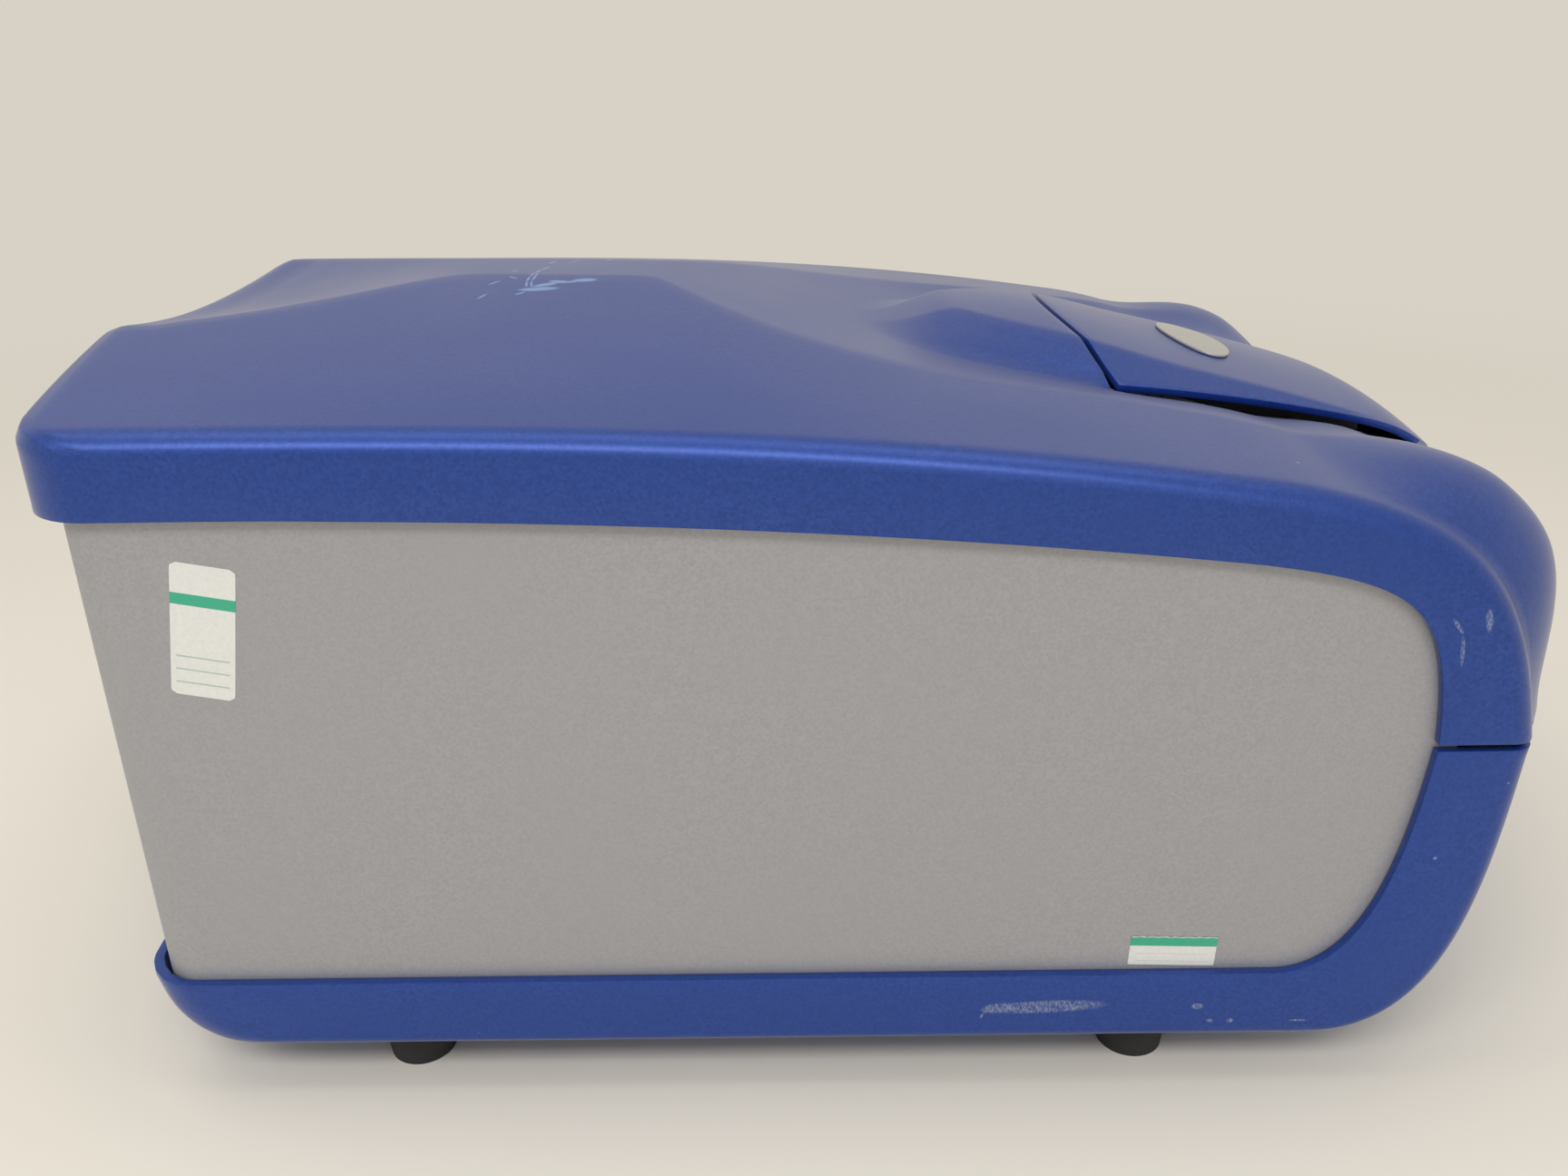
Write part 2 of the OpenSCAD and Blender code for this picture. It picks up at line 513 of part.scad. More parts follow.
// Rubber feet with countersunk screws up into the posts
foot_recess = 8;
screw_r = 2;
module rubber_foot(place) {
    color(black) translate([place[0], place[1], 0]) difference() {
        cylinder(h = foot_h, d1 = foot_d - 3, d2 = foot_d);
        translate([0, 0, -1]) cylinder(h = foot_h + 2, r = foot_bore, $fn = 32);
        translate([0, 0, -1]) cylinder(h = foot_recess + 1, r = 5, $fn = 32);
    }
}
module front_left_foot() {
    rubber_foot(foot_places[0]);
}
module front_right_foot() {
    rubber_foot(foot_places[1]);
}
module rear_left_foot() {
    rubber_foot(foot_places[2]);
}
module rear_right_foot() {
    rubber_foot(foot_places[3]);
}
module foot_screws() {
    color(metal) for (p = foot_places) translate([p[0], p[1], foot_recess]) {
        cylinder(h = 30, r = screw_r, $fn = 32);
        translate([0, 0, -4]) difference() {
            cylinder(h = 4, r = 4, $fn = 32);
            translate([0, 0, -1]) cylinder(h = 3, r = 2, $fn = 6);
        }
    }
}

// Posts on the tray's floor and the plate that carries the works
post_r = 7;
plate_half = half_w - 11;
plate_front = chin_y + 72;
plate_rear = base_rear - 5;
tongue_half = 66;
tongue_front = chin_y - 9;
cable_r = 9;
cable_inset = 12;
cable_x = plate_half - 22;
module chassis_posts() {
    color(metal) for (p = foot_places) translate([p[0], p[1], floor_z]) difference() {
        cylinder(h = plate_z - floor_z, r = post_r);
        translate([0, 0, -1]) cylinder(h = 20, r = screw_r + run_gap, $fn = 32);
    }
}
module chassis_plate() {
    color(metal) translate([0, 0, plate_z]) linear_extrude(plate_t) difference() {
        polygon([[-plate_half, plate_front], [-tongue_half, plate_front], [-tongue_half, tongue_front],
            [tongue_half, tongue_front], [tongue_half, plate_front], [plate_half, plate_front],
            [plate_half, plate_rear], [-plate_half, plate_rear]]);
        for (x = [-cable_x, port_x, cable_x]) translate([x, plate_rear - cable_inset]) circle(r = cable_r);
    }
}

// Carriage rails in two end blocks, with the lead screw and its motor beside them
block_t = 8;
block_half = 44;
block_high = rail_z + 9;
carriage_front = front + 39;
carriage_back = carriage_front + 94;
block_front = carriage_front - 3 - block_t;
block_back = carriage_back + travel + 6;
rail_bore = rail_d / 2 + run_gap;
screw_bore = screw_d / 2 + run_gap;
module rail_bores(y, h) {
    for (x = [-rail_x, rail_x]) translate([x, y + h, rail_z]) rotate([90, 0, 0])
        cylinder(h = h, r = rail_bore);
    translate([screw_x, y + h, rail_z]) rotate([90, 0, 0]) cylinder(h = h, r = screw_bore);
}
module rail_block(y) {
    color(metal) difference() {
        translate([-block_half, y, works_z]) cube([2 * block_half + 4, block_t, block_high - works_z]);
        rail_bores(y - 1, block_t + 2);
        translate([-20, y - 1, works_z + 14]) cube([40, block_t + 2, 34]);
    }
}
module front_rail_block() {
    rail_block(block_front);
}
module rear_rail_block() {
    rail_block(block_back);
}
module carriage_rails() {
    color(metal) for (x = [-rail_x, rail_x]) translate([x, block_back + block_t, rail_z])
        rotate([90, 0, 0]) cylinder(h = block_back + block_t - block_front, d = rail_d);
}
module lead_screw() {
    color(brass) translate([screw_x, block_back + block_t + 20, rail_z]) rotate([90, 0, 0])
        cylinder(h = block_back - block_front + block_t + 18, d = screw_d);
}
motor_w = 28;
motor_l = 32;
motor_y = block_back + block_t;
module carriage_motor() {
    color(dark_metal) difference() {
        union() {
            translate([screw_x - motor_w / 2, motor_y, rail_z - motor_w / 2])
                cube([motor_w, motor_l, motor_w]);
            translate([screw_x - motor_w / 2, motor_y + 2, works_z])
                cube([motor_w, motor_l - 6, rail_z - motor_w / 2 - works_z]);
        }
        translate([screw_x, motor_y + 22, rail_z]) rotate([90, 0, 0]) cylinder(h = 23, r = screw_bore);
        for (x = [-1, 1], z = [-1, 1])
            translate([screw_x + x * motor_w / 2, motor_y, rail_z + z * motor_w / 2])
                rotate([0, 45, 0]) cube([4, 3 * motor_l, 4], center = true);
    }
}

// Slide carriage: a frame with a recess for the slide, lugs on the rails and a nut on the screw
carriage_half = 34;
carriage_t = 12;
recess_t = 2;
ledge = 2.5;
lug_l = 18;
lug_low = rail_z - 6.5;
slide_y = (carriage_front + carriage_back) / 2;
clamp_x = -slide_w / 2 - 3;
clamp_z = carriage_z + 2.4;
clamp_l = 30;
clamp_r = 2.1;
clamp_pin_r = 1.2;
module slide_carriage() {
    color(dark_metal) difference() {
        union() {
            translate([-carriage_half, carriage_front, carriage_z - carriage_t])
                cube([2 * carriage_half, carriage_back - carriage_front, carriage_t]);
            for (y = [carriage_front, carriage_back - lug_l]) {
                for (x = [-rail_x, rail_x]) translate([x - 7, y, lug_low])
                    cube([14, lug_l, carriage_z - carriage_t - lug_low]);
            }
            translate([carriage_half - 1, carriage_front, lug_low])
                cube([10, lug_l, carriage_z - lug_low - 2]);
            for (y = [-clamp_l / 2 - 4.3, clamp_l / 2 + 0.3])
                translate([clamp_x - 2.2, slide_y + y, carriage_z - 1]) cube([4.4, 4, 5.4]);
        }
        rail_bores(carriage_front - 1, carriage_back - carriage_front + 2);
        translate([-slide_w / 2 - 0.2, slide_y - slide_l / 2 - 0.2, carriage_z - recess_t])
            cube([slide_w + 0.4, slide_l + 0.4, recess_t + 1]);
        translate([-slide_w / 2 + ledge, slide_y - slide_l / 2 + ledge, lug_low - 1])
            cube([slide_w - 2 * ledge, slide_l - 2 * ledge, carriage_z]);
        translate([-9, carriage_front - 1, carriage_z - recess_t]) cube([18, 12, recess_t + 1]);
        translate([clamp_x, slide_y + clamp_l, clamp_z]) rotate([90, 0, 0])
            cylinder(h = 2 * clamp_l, r = clamp_pin_r + run_gap, $fn = 32);
    }
}
module slide_clamp() {
    color(metal) difference() {
        union() {
            translate([clamp_x, slide_y + clamp_l / 2, clamp_z]) rotate([90, 0, 0])
                cylinder(h = clamp_l, r = clamp_r, $fn = 32);
            translate([clamp_x, slide_y - clamp_l / 2, clamp_z - 1.6]) cube([4.6, clamp_l, 1.4]);
        }
        translate([clamp_x, slide_y + clamp_l, clamp_z]) rotate([90, 0, 0])
            cylinder(h = 2 * clamp_l, r = clamp_pin_r + run_gap, $fn = 32);
    }
}
module clamp_pin() {
    color(metal) translate([clamp_x, slide_y + clamp_l / 2 + 4.3, clamp_z]) rotate([90, 0, 0])
        cylinder(h = clamp_l + 8.6, r = clamp_pin_r, $fn = 32);
}

// Scan head on two rods across the machine, driven by a voice coil, with the objective under the slide
head_z = 110;
head_half = 18;
head_d = 22;
rod_r = 3;
head_post_x = head_half + head_stroke + 15;
head_post_t = 6;
head_span = 2 * head_post_x + 40;
coil_r = 12;
coil_end = 68;
lens_z = head_z + 4;
lens_r = 8;
lens_stem_r = 6;
module rod_pair(h, r) {
    for (y = [-head_d, head_d]) translate([-h / 2, head_y + y, head_z]) rotate([0, 90, 0])
        cylinder(h = h, r = r, $fn = 40);
}
module head_posts() {
    color(metal) difference() {
        for (x = [-head_post_x, head_post_x]) translate([x - head_post_t / 2, head_y - head_d - 6, works_z])
            cube([head_post_t, 2 * head_d + 12, head_z + 6.5 - works_z]);
        rod_pair(head_span, rod_r + run_gap);
        translate([-head_span / 2, head_y, head_z]) rotate([0, 90, 0])
            cylinder(h = head_span, r = coil_r + 2);
        translate([-head_span / 2, head_y - coil_r - 2, head_z]) cube([head_span, 2 * coil_r + 4, 20]);
    }
}
module head_rails() {
    color(metal) rod_pair(2 * head_post_x + head_post_t, rod_r);
}
module scan_head() {
    color(dark_metal) difference() {
        union() {
            translate([-head_half, head_y - head_d - 5, head_z - 7])
                cube([2 * head_half, 2 * head_d + 10, 13]);
            translate([-head_half + 4, head_y - 15, head_z - 16]) cube([2 * head_half - 8, 30, 26]);
            translate([-coil_end, head_y, head_z]) rotate([0, 90, 0])
                cylinder(h = coil_end - head_half + 1, r = coil_r);
        }
        rod_pair(4 * head_half, rod_r + run_gap);
        translate([0, head_y, lens_z]) cylinder(h = 20, r = lens_stem_r + 0.05);
        translate([-coil_end - 1, head_y, head_z]) rotate([0, 90, 0])
            cylinder(h = coil_end - head_half - 4, r = coil_r - 2);
    }
}
module objective_lens() {
    color(black) translate([0, head_y, lens_z]) difference() {
        union() {
            cylinder(h = 7, r = lens_stem_r);
            translate([0, 0, 6.2]) cylinder(h = 12, r = lens_r);
            translate([0, 0, 18]) cylinder(h = 4, r1 = lens_r, r2 = 5);
        }
        translate([0, 0, 20]) cylinder(h = 3, r = 3.5, $fn = 32);
    }
}
magnet_l = 40;
magnet_r = 22;
magnet_x = -head_post_x - head_post_t / 2 - 2 - magnet_l;
module magnet_round(x, h, r) {
    translate([magnet_x + x, head_y, head_z]) rotate([0, 90, 0]) cylinder(h = h, r = r);
}
module voice_coil_magnet() {
    color(dark_metal) {
        difference() {
            magnet_round(0, magnet_l, magnet_r);
            magnet_round(5, magnet_l, coil_r + 1);
        }
        magnet_round(4, magnet_l - 6, coil_r - 3);
        difference() {
            translate([magnet_x + 4, head_y - 16, works_z]) cube([magnet_l - 8, 32, head_z - works_z]);
            magnet_round(0, magnet_l, magnet_r - 0.1);
        }
    }
}

// Lasers and detectors on the rear half of the plate, with mirrors that fold the beams to the head
laser_l = 112;
laser_y = plate_rear - 143.5;
green_laser_x = -plate_half + 40;
green_laser_w = 44;
green_laser_h = 34;
red_laser_x = -plate_half + 92;
red_laser_w = 36;
red_laser_h = 30;
module laser(x, w, h) {
    translate([x - w / 2, laser_y, works_z]) cube([w, laser_l, h]);
    translate([x, laser_y + 1, works_z + h / 2]) rotate([90, 0, 0]) cylinder(h = 14, r = 6);
    for (i = [0 : 7]) translate([x - w / 2 + 2, laser_y + 12 + i * 12, works_z + h]) cube([w - 4, 3, 8]);
}
module green_laser() {
    color(dark_metal) laser(green_laser_x, green_laser_w, green_laser_h);
}
module red_laser() {
    color(black) laser(red_laser_x, red_laser_w, red_laser_h);
}
detector_z = works_z + 24;
detector_l = 90;
detector_r = 17;
green_detector_x = plate_half - 76;
red_detector_x = plate_half - 28;
module detector(x) {
    translate([x, laser_y + detector_l, detector_z]) rotate([90, 0, 0])
        cylinder(h = detector_l, r = detector_r);
    translate([x, laser_y + 0.5, detector_z]) rotate([90, 0, 0]) cylinder(h = 10, r = 9);
    for (y = [10, 66]) difference() {
        translate([x - detector_r - 3, laser_y + y, works_z])
            cube([2 * detector_r + 6, 12, detector_z - works_z]);
        translate([x, laser_y + y + 13, detector_z]) rotate([90, 0, 0])
            cylinder(h = 14, r = detector_r - 0.1);
    }
}
module green_detector() {
    color(black) detector(green_detector_x);
}
module red_detector() {
    color(black) detector(red_detector_x);
}
mirror_w = 18;
mirror_h = 32;
mirror_y = laser_y - 36;
mirror_places = [[green_laser_x, 45], [red_laser_x, 45], [green_detector_x, -45], [red_detector_x, -45]];
module fold_mirrors() {
    color(metal) for (p = mirror_places) translate([p[0], mirror_y, works_z]) rotate([0, 0, p[1]]) {
        translate([-mirror_w / 2, -3, 0]) cube([mirror_w, 8, 5]);
        translate([-mirror_w / 2, 0, 0]) cube([mirror_w, 3, mirror_h]);
    }
}

// Electronics under the plate
board_w = plate_half - 22;
board_l = 170;
board_x = -plate_half + 24;
board_y = plate_rear - 247.5;
board_z = floor_z + 8;
board_t = 1.6;
chip_z = board_z + board_t - 0.2;
module main_board() {
    color(board_green) {
        translate([board_x, board_y, board_z]) cube([board_w, board_l, board_t]);
        for (x = [6, board_w - 6], y = [6, board_l - 6]) translate([board_x + x, board_y + y, floor_z])
            cylinder(h = board_z - floor_z + 0.2, r = 3, $fn = 24);
        for (x = [20, 50, 84], y = [24, 66]) translate([board_x + x, board_y + y, chip_z]) cube([20, 24, 3]);
        for (x = [16 : 18 : board_w - 20]) translate([board_x + x, board_y + 134, chip_z])
            cylinder(h = 14, r = 5, $fn = 32);
    }
}
supply_w = plate_half - 56;
supply_l = 150;
supply_h = 32;
supply_x = plate_half - 32 - supply_w;
supply_y = plate_rear - 227.5;
groove_pitch = (supply_w - 24) / 8;
module power_supply() {
    color(metal) difference() {
        translate([supply_x, supply_y, floor_z]) cube([supply_w, supply_l, supply_h]);
        for (i = [0 : 8], y = [20, 84])
            translate([supply_x + 10 + i * groove_pitch, supply_y + y, floor_z + supply_h - 2])
                cube([4, 60, 4]);
    }
}

// Power entry with its socket and rocker switch, and the data port beside it
entry_face = rear_face + 2.5;
entry_depth = 26;
socket_x = entry_x - 12;
rocker_x = entry_x + 20;
rocker_w = 13;
rocker_h = 19;
rocker_y = rear_face - 4;
axle_r = 1.5;
entry_rim = 3;
entry_lip = entry_face - rear_face;
pin_l = 12;
module power_inlet() {
    color(black) difference() {
        union() {
            translate([entry_x - entry_w / 2 - entry_rim, rear_face, entry_z - entry_h / 2 - entry_rim])
                cube([entry_w + 2 * entry_rim, entry_lip, entry_h + 2 * entry_rim]);
            translate([entry_x - entry_w / 2, rear_face - entry_depth, entry_z - entry_h / 2])
                cube([entry_w, entry_depth + 1, entry_h]);
        }
        translate([socket_x, entry_face - 16, entry_z]) rotate([-90, 0, 0]) linear_extrude(20)
            polygon([[-12, -8], [12, -8], [12, 4], [8, 8], [-8, 8], [-12, 4]]);
        translate([rocker_x - rocker_w / 2, rear_face - 16, entry_z - rocker_h / 2])
            cube([rocker_w, 30, rocker_h]);
        translate([rocker_x - 10, rocker_y, entry_z]) rotate([0, 90, 0])
            cylinder(h = 20, r = axle_r + run_gap, $fn = 32);
    }
    color(metal) for (x = [-7, 0, 7])
        translate([socket_x + x - 1, entry_face - 17, entry_z + (x == 0 ? -3 : 1)]) cube([2, pin_l, 4]);
}
module power_switch() {
    color(black) translate([rocker_x, rocker_y, entry_z]) {
        rotate([0, 90, 0]) cylinder(h = 18, r = axle_r, center = true, $fn = 32);
        rotate([8, 0, 0]) translate([-rocker_w / 2 + 0.4, 0, 0]) rotate([90, 0, 90])
            linear_extrude(rocker_w - 0.8)
                polygon([[-3, -4], [2, -8.2], [7, -8.2], [5.4, 0], [7, 8.2], [2, 8.2], [-3, 4]]);
    }
}
module data_port() {
    color(metal) difference() {
        translate([port_x - port_w / 2, rear_face - 16, entry_z - port_h / 2]) cube([port_w, 17, port_h]);
        translate([port_x - port_w / 2 + port_t, rear_face - 10, entry_z - port_h / 2 + port_t])
            cube([port_w - 2 * port_t, 20, port_h - 2 * port_t]);
    }
    color(black) translate([port_x - 4, rear_face - 11, entry_z - 1.5]) cube([8, 7, 3]);
}

// Cooling fan behind the rear panel, with a wire guard outside
fan_t = 25;
fan_face = rear_face - sheet;
hub_r = 17;
shaft_r = 2;
blade_n = 7;
module fan_frame() {
    color(black) difference() {
        union() {
            difference() {
                translate([fan_x - fan_w / 2, fan_face - fan_t, fan_z - fan_w / 2])
                    cube([fan_w, fan_t, fan_w]);
                translate([fan_x, fan_face + 1, fan_z]) rotate([90, 0, 0])
                    cylinder(h = fan_t + 2, r = fan_bore);
            }
            translate([fan_x, fan_face - fan_t + 3, fan_z]) rotate([90, 0, 0]) cylinder(h = 3, r = hub_r);
            for (a = [45 : 90 : 315]) translate([fan_x, fan_face - fan_t + 1.5, fan_z]) rotate([0, a, 0])
                translate([hub_r - 1, -1.5, -2]) cube([fan_bore - hub_r + 2, 3, 4]);
        }
        translate([fan_x, fan_face, fan_z]) rotate([90, 0, 0])
            cylinder(h = fan_t + 2, r = shaft_r + run_gap, $fn = 32);
        for (x = [-1, 1], z = [-1, 1]) translate([fan_x + x * fan_hole, fan_face + 1, fan_z + z * fan_hole])
            rotate([90, 0, 0]) cylinder(h = fan_t + 2, r = 2, $fn = 24);
    }
}
module fan_rotor() {
    color(dark_metal) translate([fan_x, fan_face - 3, fan_z]) rotate([90, 0, 0]) {
        cylinder(h = fan_t - 7, r = hub_r);
        translate([0, 0, 1]) cylinder(h = fan_t - 4, r = shaft_r, $fn = 32);
        for (i = [0 : blade_n - 1]) rotate([0, 0, 360 / blade_n * i])
            translate([hub_r - 2, 0, (fan_t - 7) / 2]) rotate([38, 0, 0]) translate([0, -10, -0.8])
                cube([fan_bore - hub_r - 2, 20, 1.6]);
    }
}
module fan_guard() {
    color(metal) translate([fan_x, rear_face + 1.2, fan_z]) rotate([90, 0, 0]) {
        for (r = [9 : 9.5 : 38]) rotate_extrude() translate([r, 0]) circle(r = 0.9, $fn = 16);
        for (a = [45 : 90 : 315]) rotate([0, 0, a]) translate([8, 0, 0]) rotate([0, 90, 0])
            cylinder(h = fan_hole * sqrt(2) - 4, r = 0.9, $fn = 16);
        for (x = [-1, 1], y = [-1, 1]) translate([x * fan_hole, y * fan_hole, -1]) difference() {
            cylinder(h = 2.2, r = 4.5, $fn = 32);
            translate([0, 0, -1]) cylinder(h = 5, r = 2, $fn = 24);
        }
    }
}

top_cover();
base_tray();
left_side_panel();
right_side_panel();
rear_panel();
lid();
lid_badge();
lid_hinge_arms();
lid_hinge_pins();
lid_hinge_brackets();
lid_magnet();
lid_sensor();
bay_surround();
bay_seal();
front_left_foot();
front_right_foot();
rear_left_foot();
rear_right_foot();
foot_screws();
chassis_posts();
chassis_plate();
front_rail_block();
rear_rail_block();
carriage_rails();
slide_carriage();
slide_clamp();
clamp_pin();
lead_screw();
carriage_motor();
head_posts();
head_rails();
scan_head();
objective_lens();
voice_coil_magnet();
green_laser();
red_laser();
green_detector();
red_detector();
fold_mirrors();
main_board();
power_supply();
power_inlet();
power_switch();
data_port();
fan_frame();
fan_rotor();
fan_guard();
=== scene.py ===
import bpy
import math
import numpy as np
from mathutils import Matrix, Vector
from mathutils.bvhtree import BVHTree


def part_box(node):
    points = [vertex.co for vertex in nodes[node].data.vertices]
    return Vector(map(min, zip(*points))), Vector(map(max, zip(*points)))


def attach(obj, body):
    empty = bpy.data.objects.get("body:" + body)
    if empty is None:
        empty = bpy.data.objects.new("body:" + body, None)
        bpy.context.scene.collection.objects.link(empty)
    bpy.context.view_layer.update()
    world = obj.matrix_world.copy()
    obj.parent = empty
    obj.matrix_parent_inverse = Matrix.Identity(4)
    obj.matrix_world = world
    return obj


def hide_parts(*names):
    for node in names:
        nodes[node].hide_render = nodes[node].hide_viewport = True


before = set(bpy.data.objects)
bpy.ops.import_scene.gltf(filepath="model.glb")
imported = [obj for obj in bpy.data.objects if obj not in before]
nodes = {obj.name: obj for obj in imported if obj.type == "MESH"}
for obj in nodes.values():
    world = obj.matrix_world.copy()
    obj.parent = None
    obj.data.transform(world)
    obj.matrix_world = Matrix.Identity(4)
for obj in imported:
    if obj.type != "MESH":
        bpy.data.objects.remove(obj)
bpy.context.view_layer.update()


# Base tray: the lower moulding, structural foam with a sprayed satin metallic blue paint.
# It comes up in front as the apron, runs under the machine as a flat pan and turns up behind as a lip.
# Shapes are worked out in millimetres, close to the lines of the solids, and scaled once at the end.
half_w, wall, edge_r, bottom_r, corner_r = 163.0, 3.0, 8.0, 4.0, 18.0
front, rear, split_z, split_gap = -229.0, 229.0, 120.0, 2.0
side_rear, base_rear, chin_y, front_bow = 193.0, 192.5, -192.0, 37.0
foot_h, lip_z, lip_bow, lip_band = 17.4, 42.0, 6.0, 30.0
base_r = lip_z - foot_h - 2
apron_rim = np.array([[chin_y, split_z - split_gap], [chin_y + 2, 75],
                      [chin_y + 4, foot_h + bottom_r], [chin_y + 44, foot_h + bottom_r]])
apron_band = np.array([[chin_y + 21, split_z - split_gap], [chin_y + 23.5, 85],
                       [chin_y + 29, lip_z], [chin_y + 57, lip_z]])


def mix(a, b, t):
    return a + (b - a) * t


def ramp(a, b, v):
    return min(1.0, max(0.0, (v - a) / (b - a)))


def smooth(a, b, v):
    t = ramp(a, b, v)
    return t * t * (3 - 2 * t)


def bezier(p, t):
    return p[0] * (1 - t) ** 3 + p[1] * 3 * t * (1 - t) ** 2 + p[2] * 3 * t * t * (1 - t) + p[3] * t ** 3


def square_off(p, t, level):
    """Direction square to a side-view line, turned level by the share given."""
    v = (p[1] - p[0]) * (1 - t) ** 2 + (p[2] - p[1]) * 2 * t * (1 - t) + (p[3] - p[2]) * t * t
    v = v / np.linalg.norm(v)
    n = np.array([v[1], mix(-v[0], 0, level)])
    return n / np.linalg.norm(n)


def bowed(s, bow, full):
    return edge_r + (bow - edge_r) * (1 - min(1.0, s / (half_w - edge_r)) ** full)


def rear_plan(s, bow):
    turn = s - half_w + corner_r
    corner = math.sqrt(max(0.0, corner_r ** 2 - turn ** 2)) if turn > 0 else corner_r
    return bow * (1 - (s / half_w) ** 2) + corner


def finer(marks, counts):
    """A list of marks with each stretch cut into the number of steps given."""
    out = []
    for i, n in enumerate(counts):
        out += [mix(marks[i], marks[i + 1], k / n) for k in range(n)]
    return out + [marks[-1]]


def mirrored(half):
    """A whole row from its left half."""
    return half + [p * [-1, 1, 1] for p in half[-2::-1]]


def full_row(band_edge, edge, top):
    """One row across the machine from half of it: the band's lower edge, the soft edge, then the top."""
    band = [mix(np.array(band_edge), np.array(edge[0]), t) for t in (0, 0.5, 0.92)]
    return mirrored(band + [np.array(p) for p in edge + top])


edge_turn = [math.radians(a) for a in range(0, 91, 15)]


def soften(net, rounds, keep):
    """Rounds the creases of a net a little; the points marked in keep stay."""
    for _ in range(rounds):
        across, along = net.copy(), net.copy()
        across[:, 1:-1] = (net[:, :-2] + net[:, 2:]) / 2
        along[1:-1] = (net[:-2] + net[2:]) / 2
        net = np.where(keep[..., None], net, net * 0.5 + across * 0.25 + along * 0.25)
    return net


def new_piece(name, points, faces):
    """A mesh object from points in metres."""
    mesh = bpy.data.meshes.new(name)
    mesh.from_pydata(points, [], faces)
    mesh.update()
    piece = bpy.data.objects.new(name, mesh)
    bpy.context.scene.collection.objects.link(piece)
    return piece


def made_real(piece):
    """Puts what a piece's modifiers make in place of its mesh."""
    start = piece.data
    done = bpy.data.meshes.new_from_object(piece.evaluated_get(bpy.context.evaluated_depsgraph_get()))
    piece.modifiers.clear()
    piece.data = done
    bpy.data.meshes.remove(start)
    done.name = piece.name
    return done


def shade(mesh, sharp):
    """Smooth faces, but for the edges that turn by more than the degrees given."""
    mesh.polygons.foreach_set("use_smooth", [True] * len(mesh.polygons))
    mesh.set_sharp_from_angle(angle=math.radians(sharp))


def moulding(name, net, thick, hole=None, edge=0.7):
    """A thin-walled moulding from a net of points on its outside, with its rims rounded."""
    rows, cols = net.shape[:2]
    faces = []
    for r in range(rows - 1):
        for c in range(cols - 1):
            if hole and hole[0] <= r < hole[1] and hole[2] <= c < hole[3]:
                continue
            a = r * cols + c
            faces.append((a, a + cols, a + cols + 1, a + 1))
    piece = new_piece(name, (net.reshape(-1, 3) * 0.001).tolist(), faces)
    skin = piece.modifiers.new("wall", "SOLIDIFY")
    skin.thickness, skin.offset, skin.use_even_offset = thick * 0.001, -1, False
    rim = piece.modifiers.new("rim", "BEVEL")
    rim.width, rim.segments = edge * 0.001, 2
    rim.limit_method, rim.angle_limit = "ANGLE", math.radians(55)
    shade(made_real(piece), 42)
    return piece


def base_marks(r):
    flat = half_w - edge_r - 4
    arc = [half_w - r * (1 - math.cos(a)) for a in edge_turn]
    return arc, finer([(half_w - r + flat) / 2, flat, flat - 4, 118, 84, 42, 0], [1, 2, 6, 6, 6, 6])


def apron_row(t):
    k, n, band = bezier(apron_rim, t), square_off(apron_rim, t, smooth(0.3, 0, t)), bezier(apron_band, t)
    r, w = mix(edge_r, bottom_r, t), smooth(0.3, 0.95, t)
    arc, flat = base_marks(r)
    heights = [mix(bowed(s, mix(front_bow, 24, t), 4.5), r, w) for s in flat]
    edge = [[-s, *(k + n * r * math.sin(a))] for s, a in zip(arc, edge_turn)]
    return full_row([-half_w, *band], edge, [[-s, *(k + n * h)] for s, h in zip(flat, heights)])


def pan_row(y):
    arc, flat = base_marks(bottom_r)
    edge = [[-s, y, foot_h + bottom_r * (1 - math.sin(a))] for s, a in zip(arc, edge_turn)]
    return full_row([-half_w, y, lip_z], edge, [[-s, y, foot_h] for s in flat])


def lip_row(angle, share):
    arc, flat = base_marks(bottom_r)
    turn = math.radians(angle)
    lift = (1 - math.cos(turn)) * base_r / (base_r + 2) if share < 1 else 1

    def at(s, z):
        return [-s, base_rear + rear_plan(s, lip_bow) - base_r * (1 - math.sin(turn)), mix(z, lip_z, lift)]

    edge = [at(s, foot_h + bottom_r * (1 - math.sin(a))) for s, a in zip(arc, edge_turn)]
    band_y = base_rear - lip_band + 5 * (angle - 2) / 22 + (1 if share == 1 else 0)
    return full_row([-half_w, band_y, lip_z], edge, [at(s, foot_h) for s in flat])


base_net = np.array([apron_row(i / 40) for i in range(41)] + [pan_row(y) for y in range(-122, 145, 14)]
                    + [lip_row(a, 0) for a in range(2, 91, 8)] + [lip_row(90, 1)])
held = np.zeros(base_net.shape[:2], bool)
held[[0, -1, -2]] = True
held[:, :5] = held[:, -5:] = True
base_tray = moulding("base_tray_moulding", soften(base_net, 3, held), wall, edge=1.3)


def linear(code):
    """An sRGB hex colour as the linear values that a shader takes."""
    parts = [int(code[i:i + 2], 16) / 255 for i in (1, 3, 5)]
    return (*[c / 12.92 if c <= 0.04045 else ((c + 0.055) / 1.055) ** 2.4 for c in parts], 1)


def add(tree, kind, inputs=(), **settings):
    """Adds one node: settings are its own choices, inputs are values or the sockets that feed it."""
    node = tree.nodes.new(kind)
    for key, value in settings.items():
        setattr(node, key, value)
    for key, value in dict(inputs).items():
        if isinstance(value, bpy.types.NodeSocket):
            tree.links.new(value, node.inputs[key])
        else:
            node.inputs[key].default_value = value
    return node


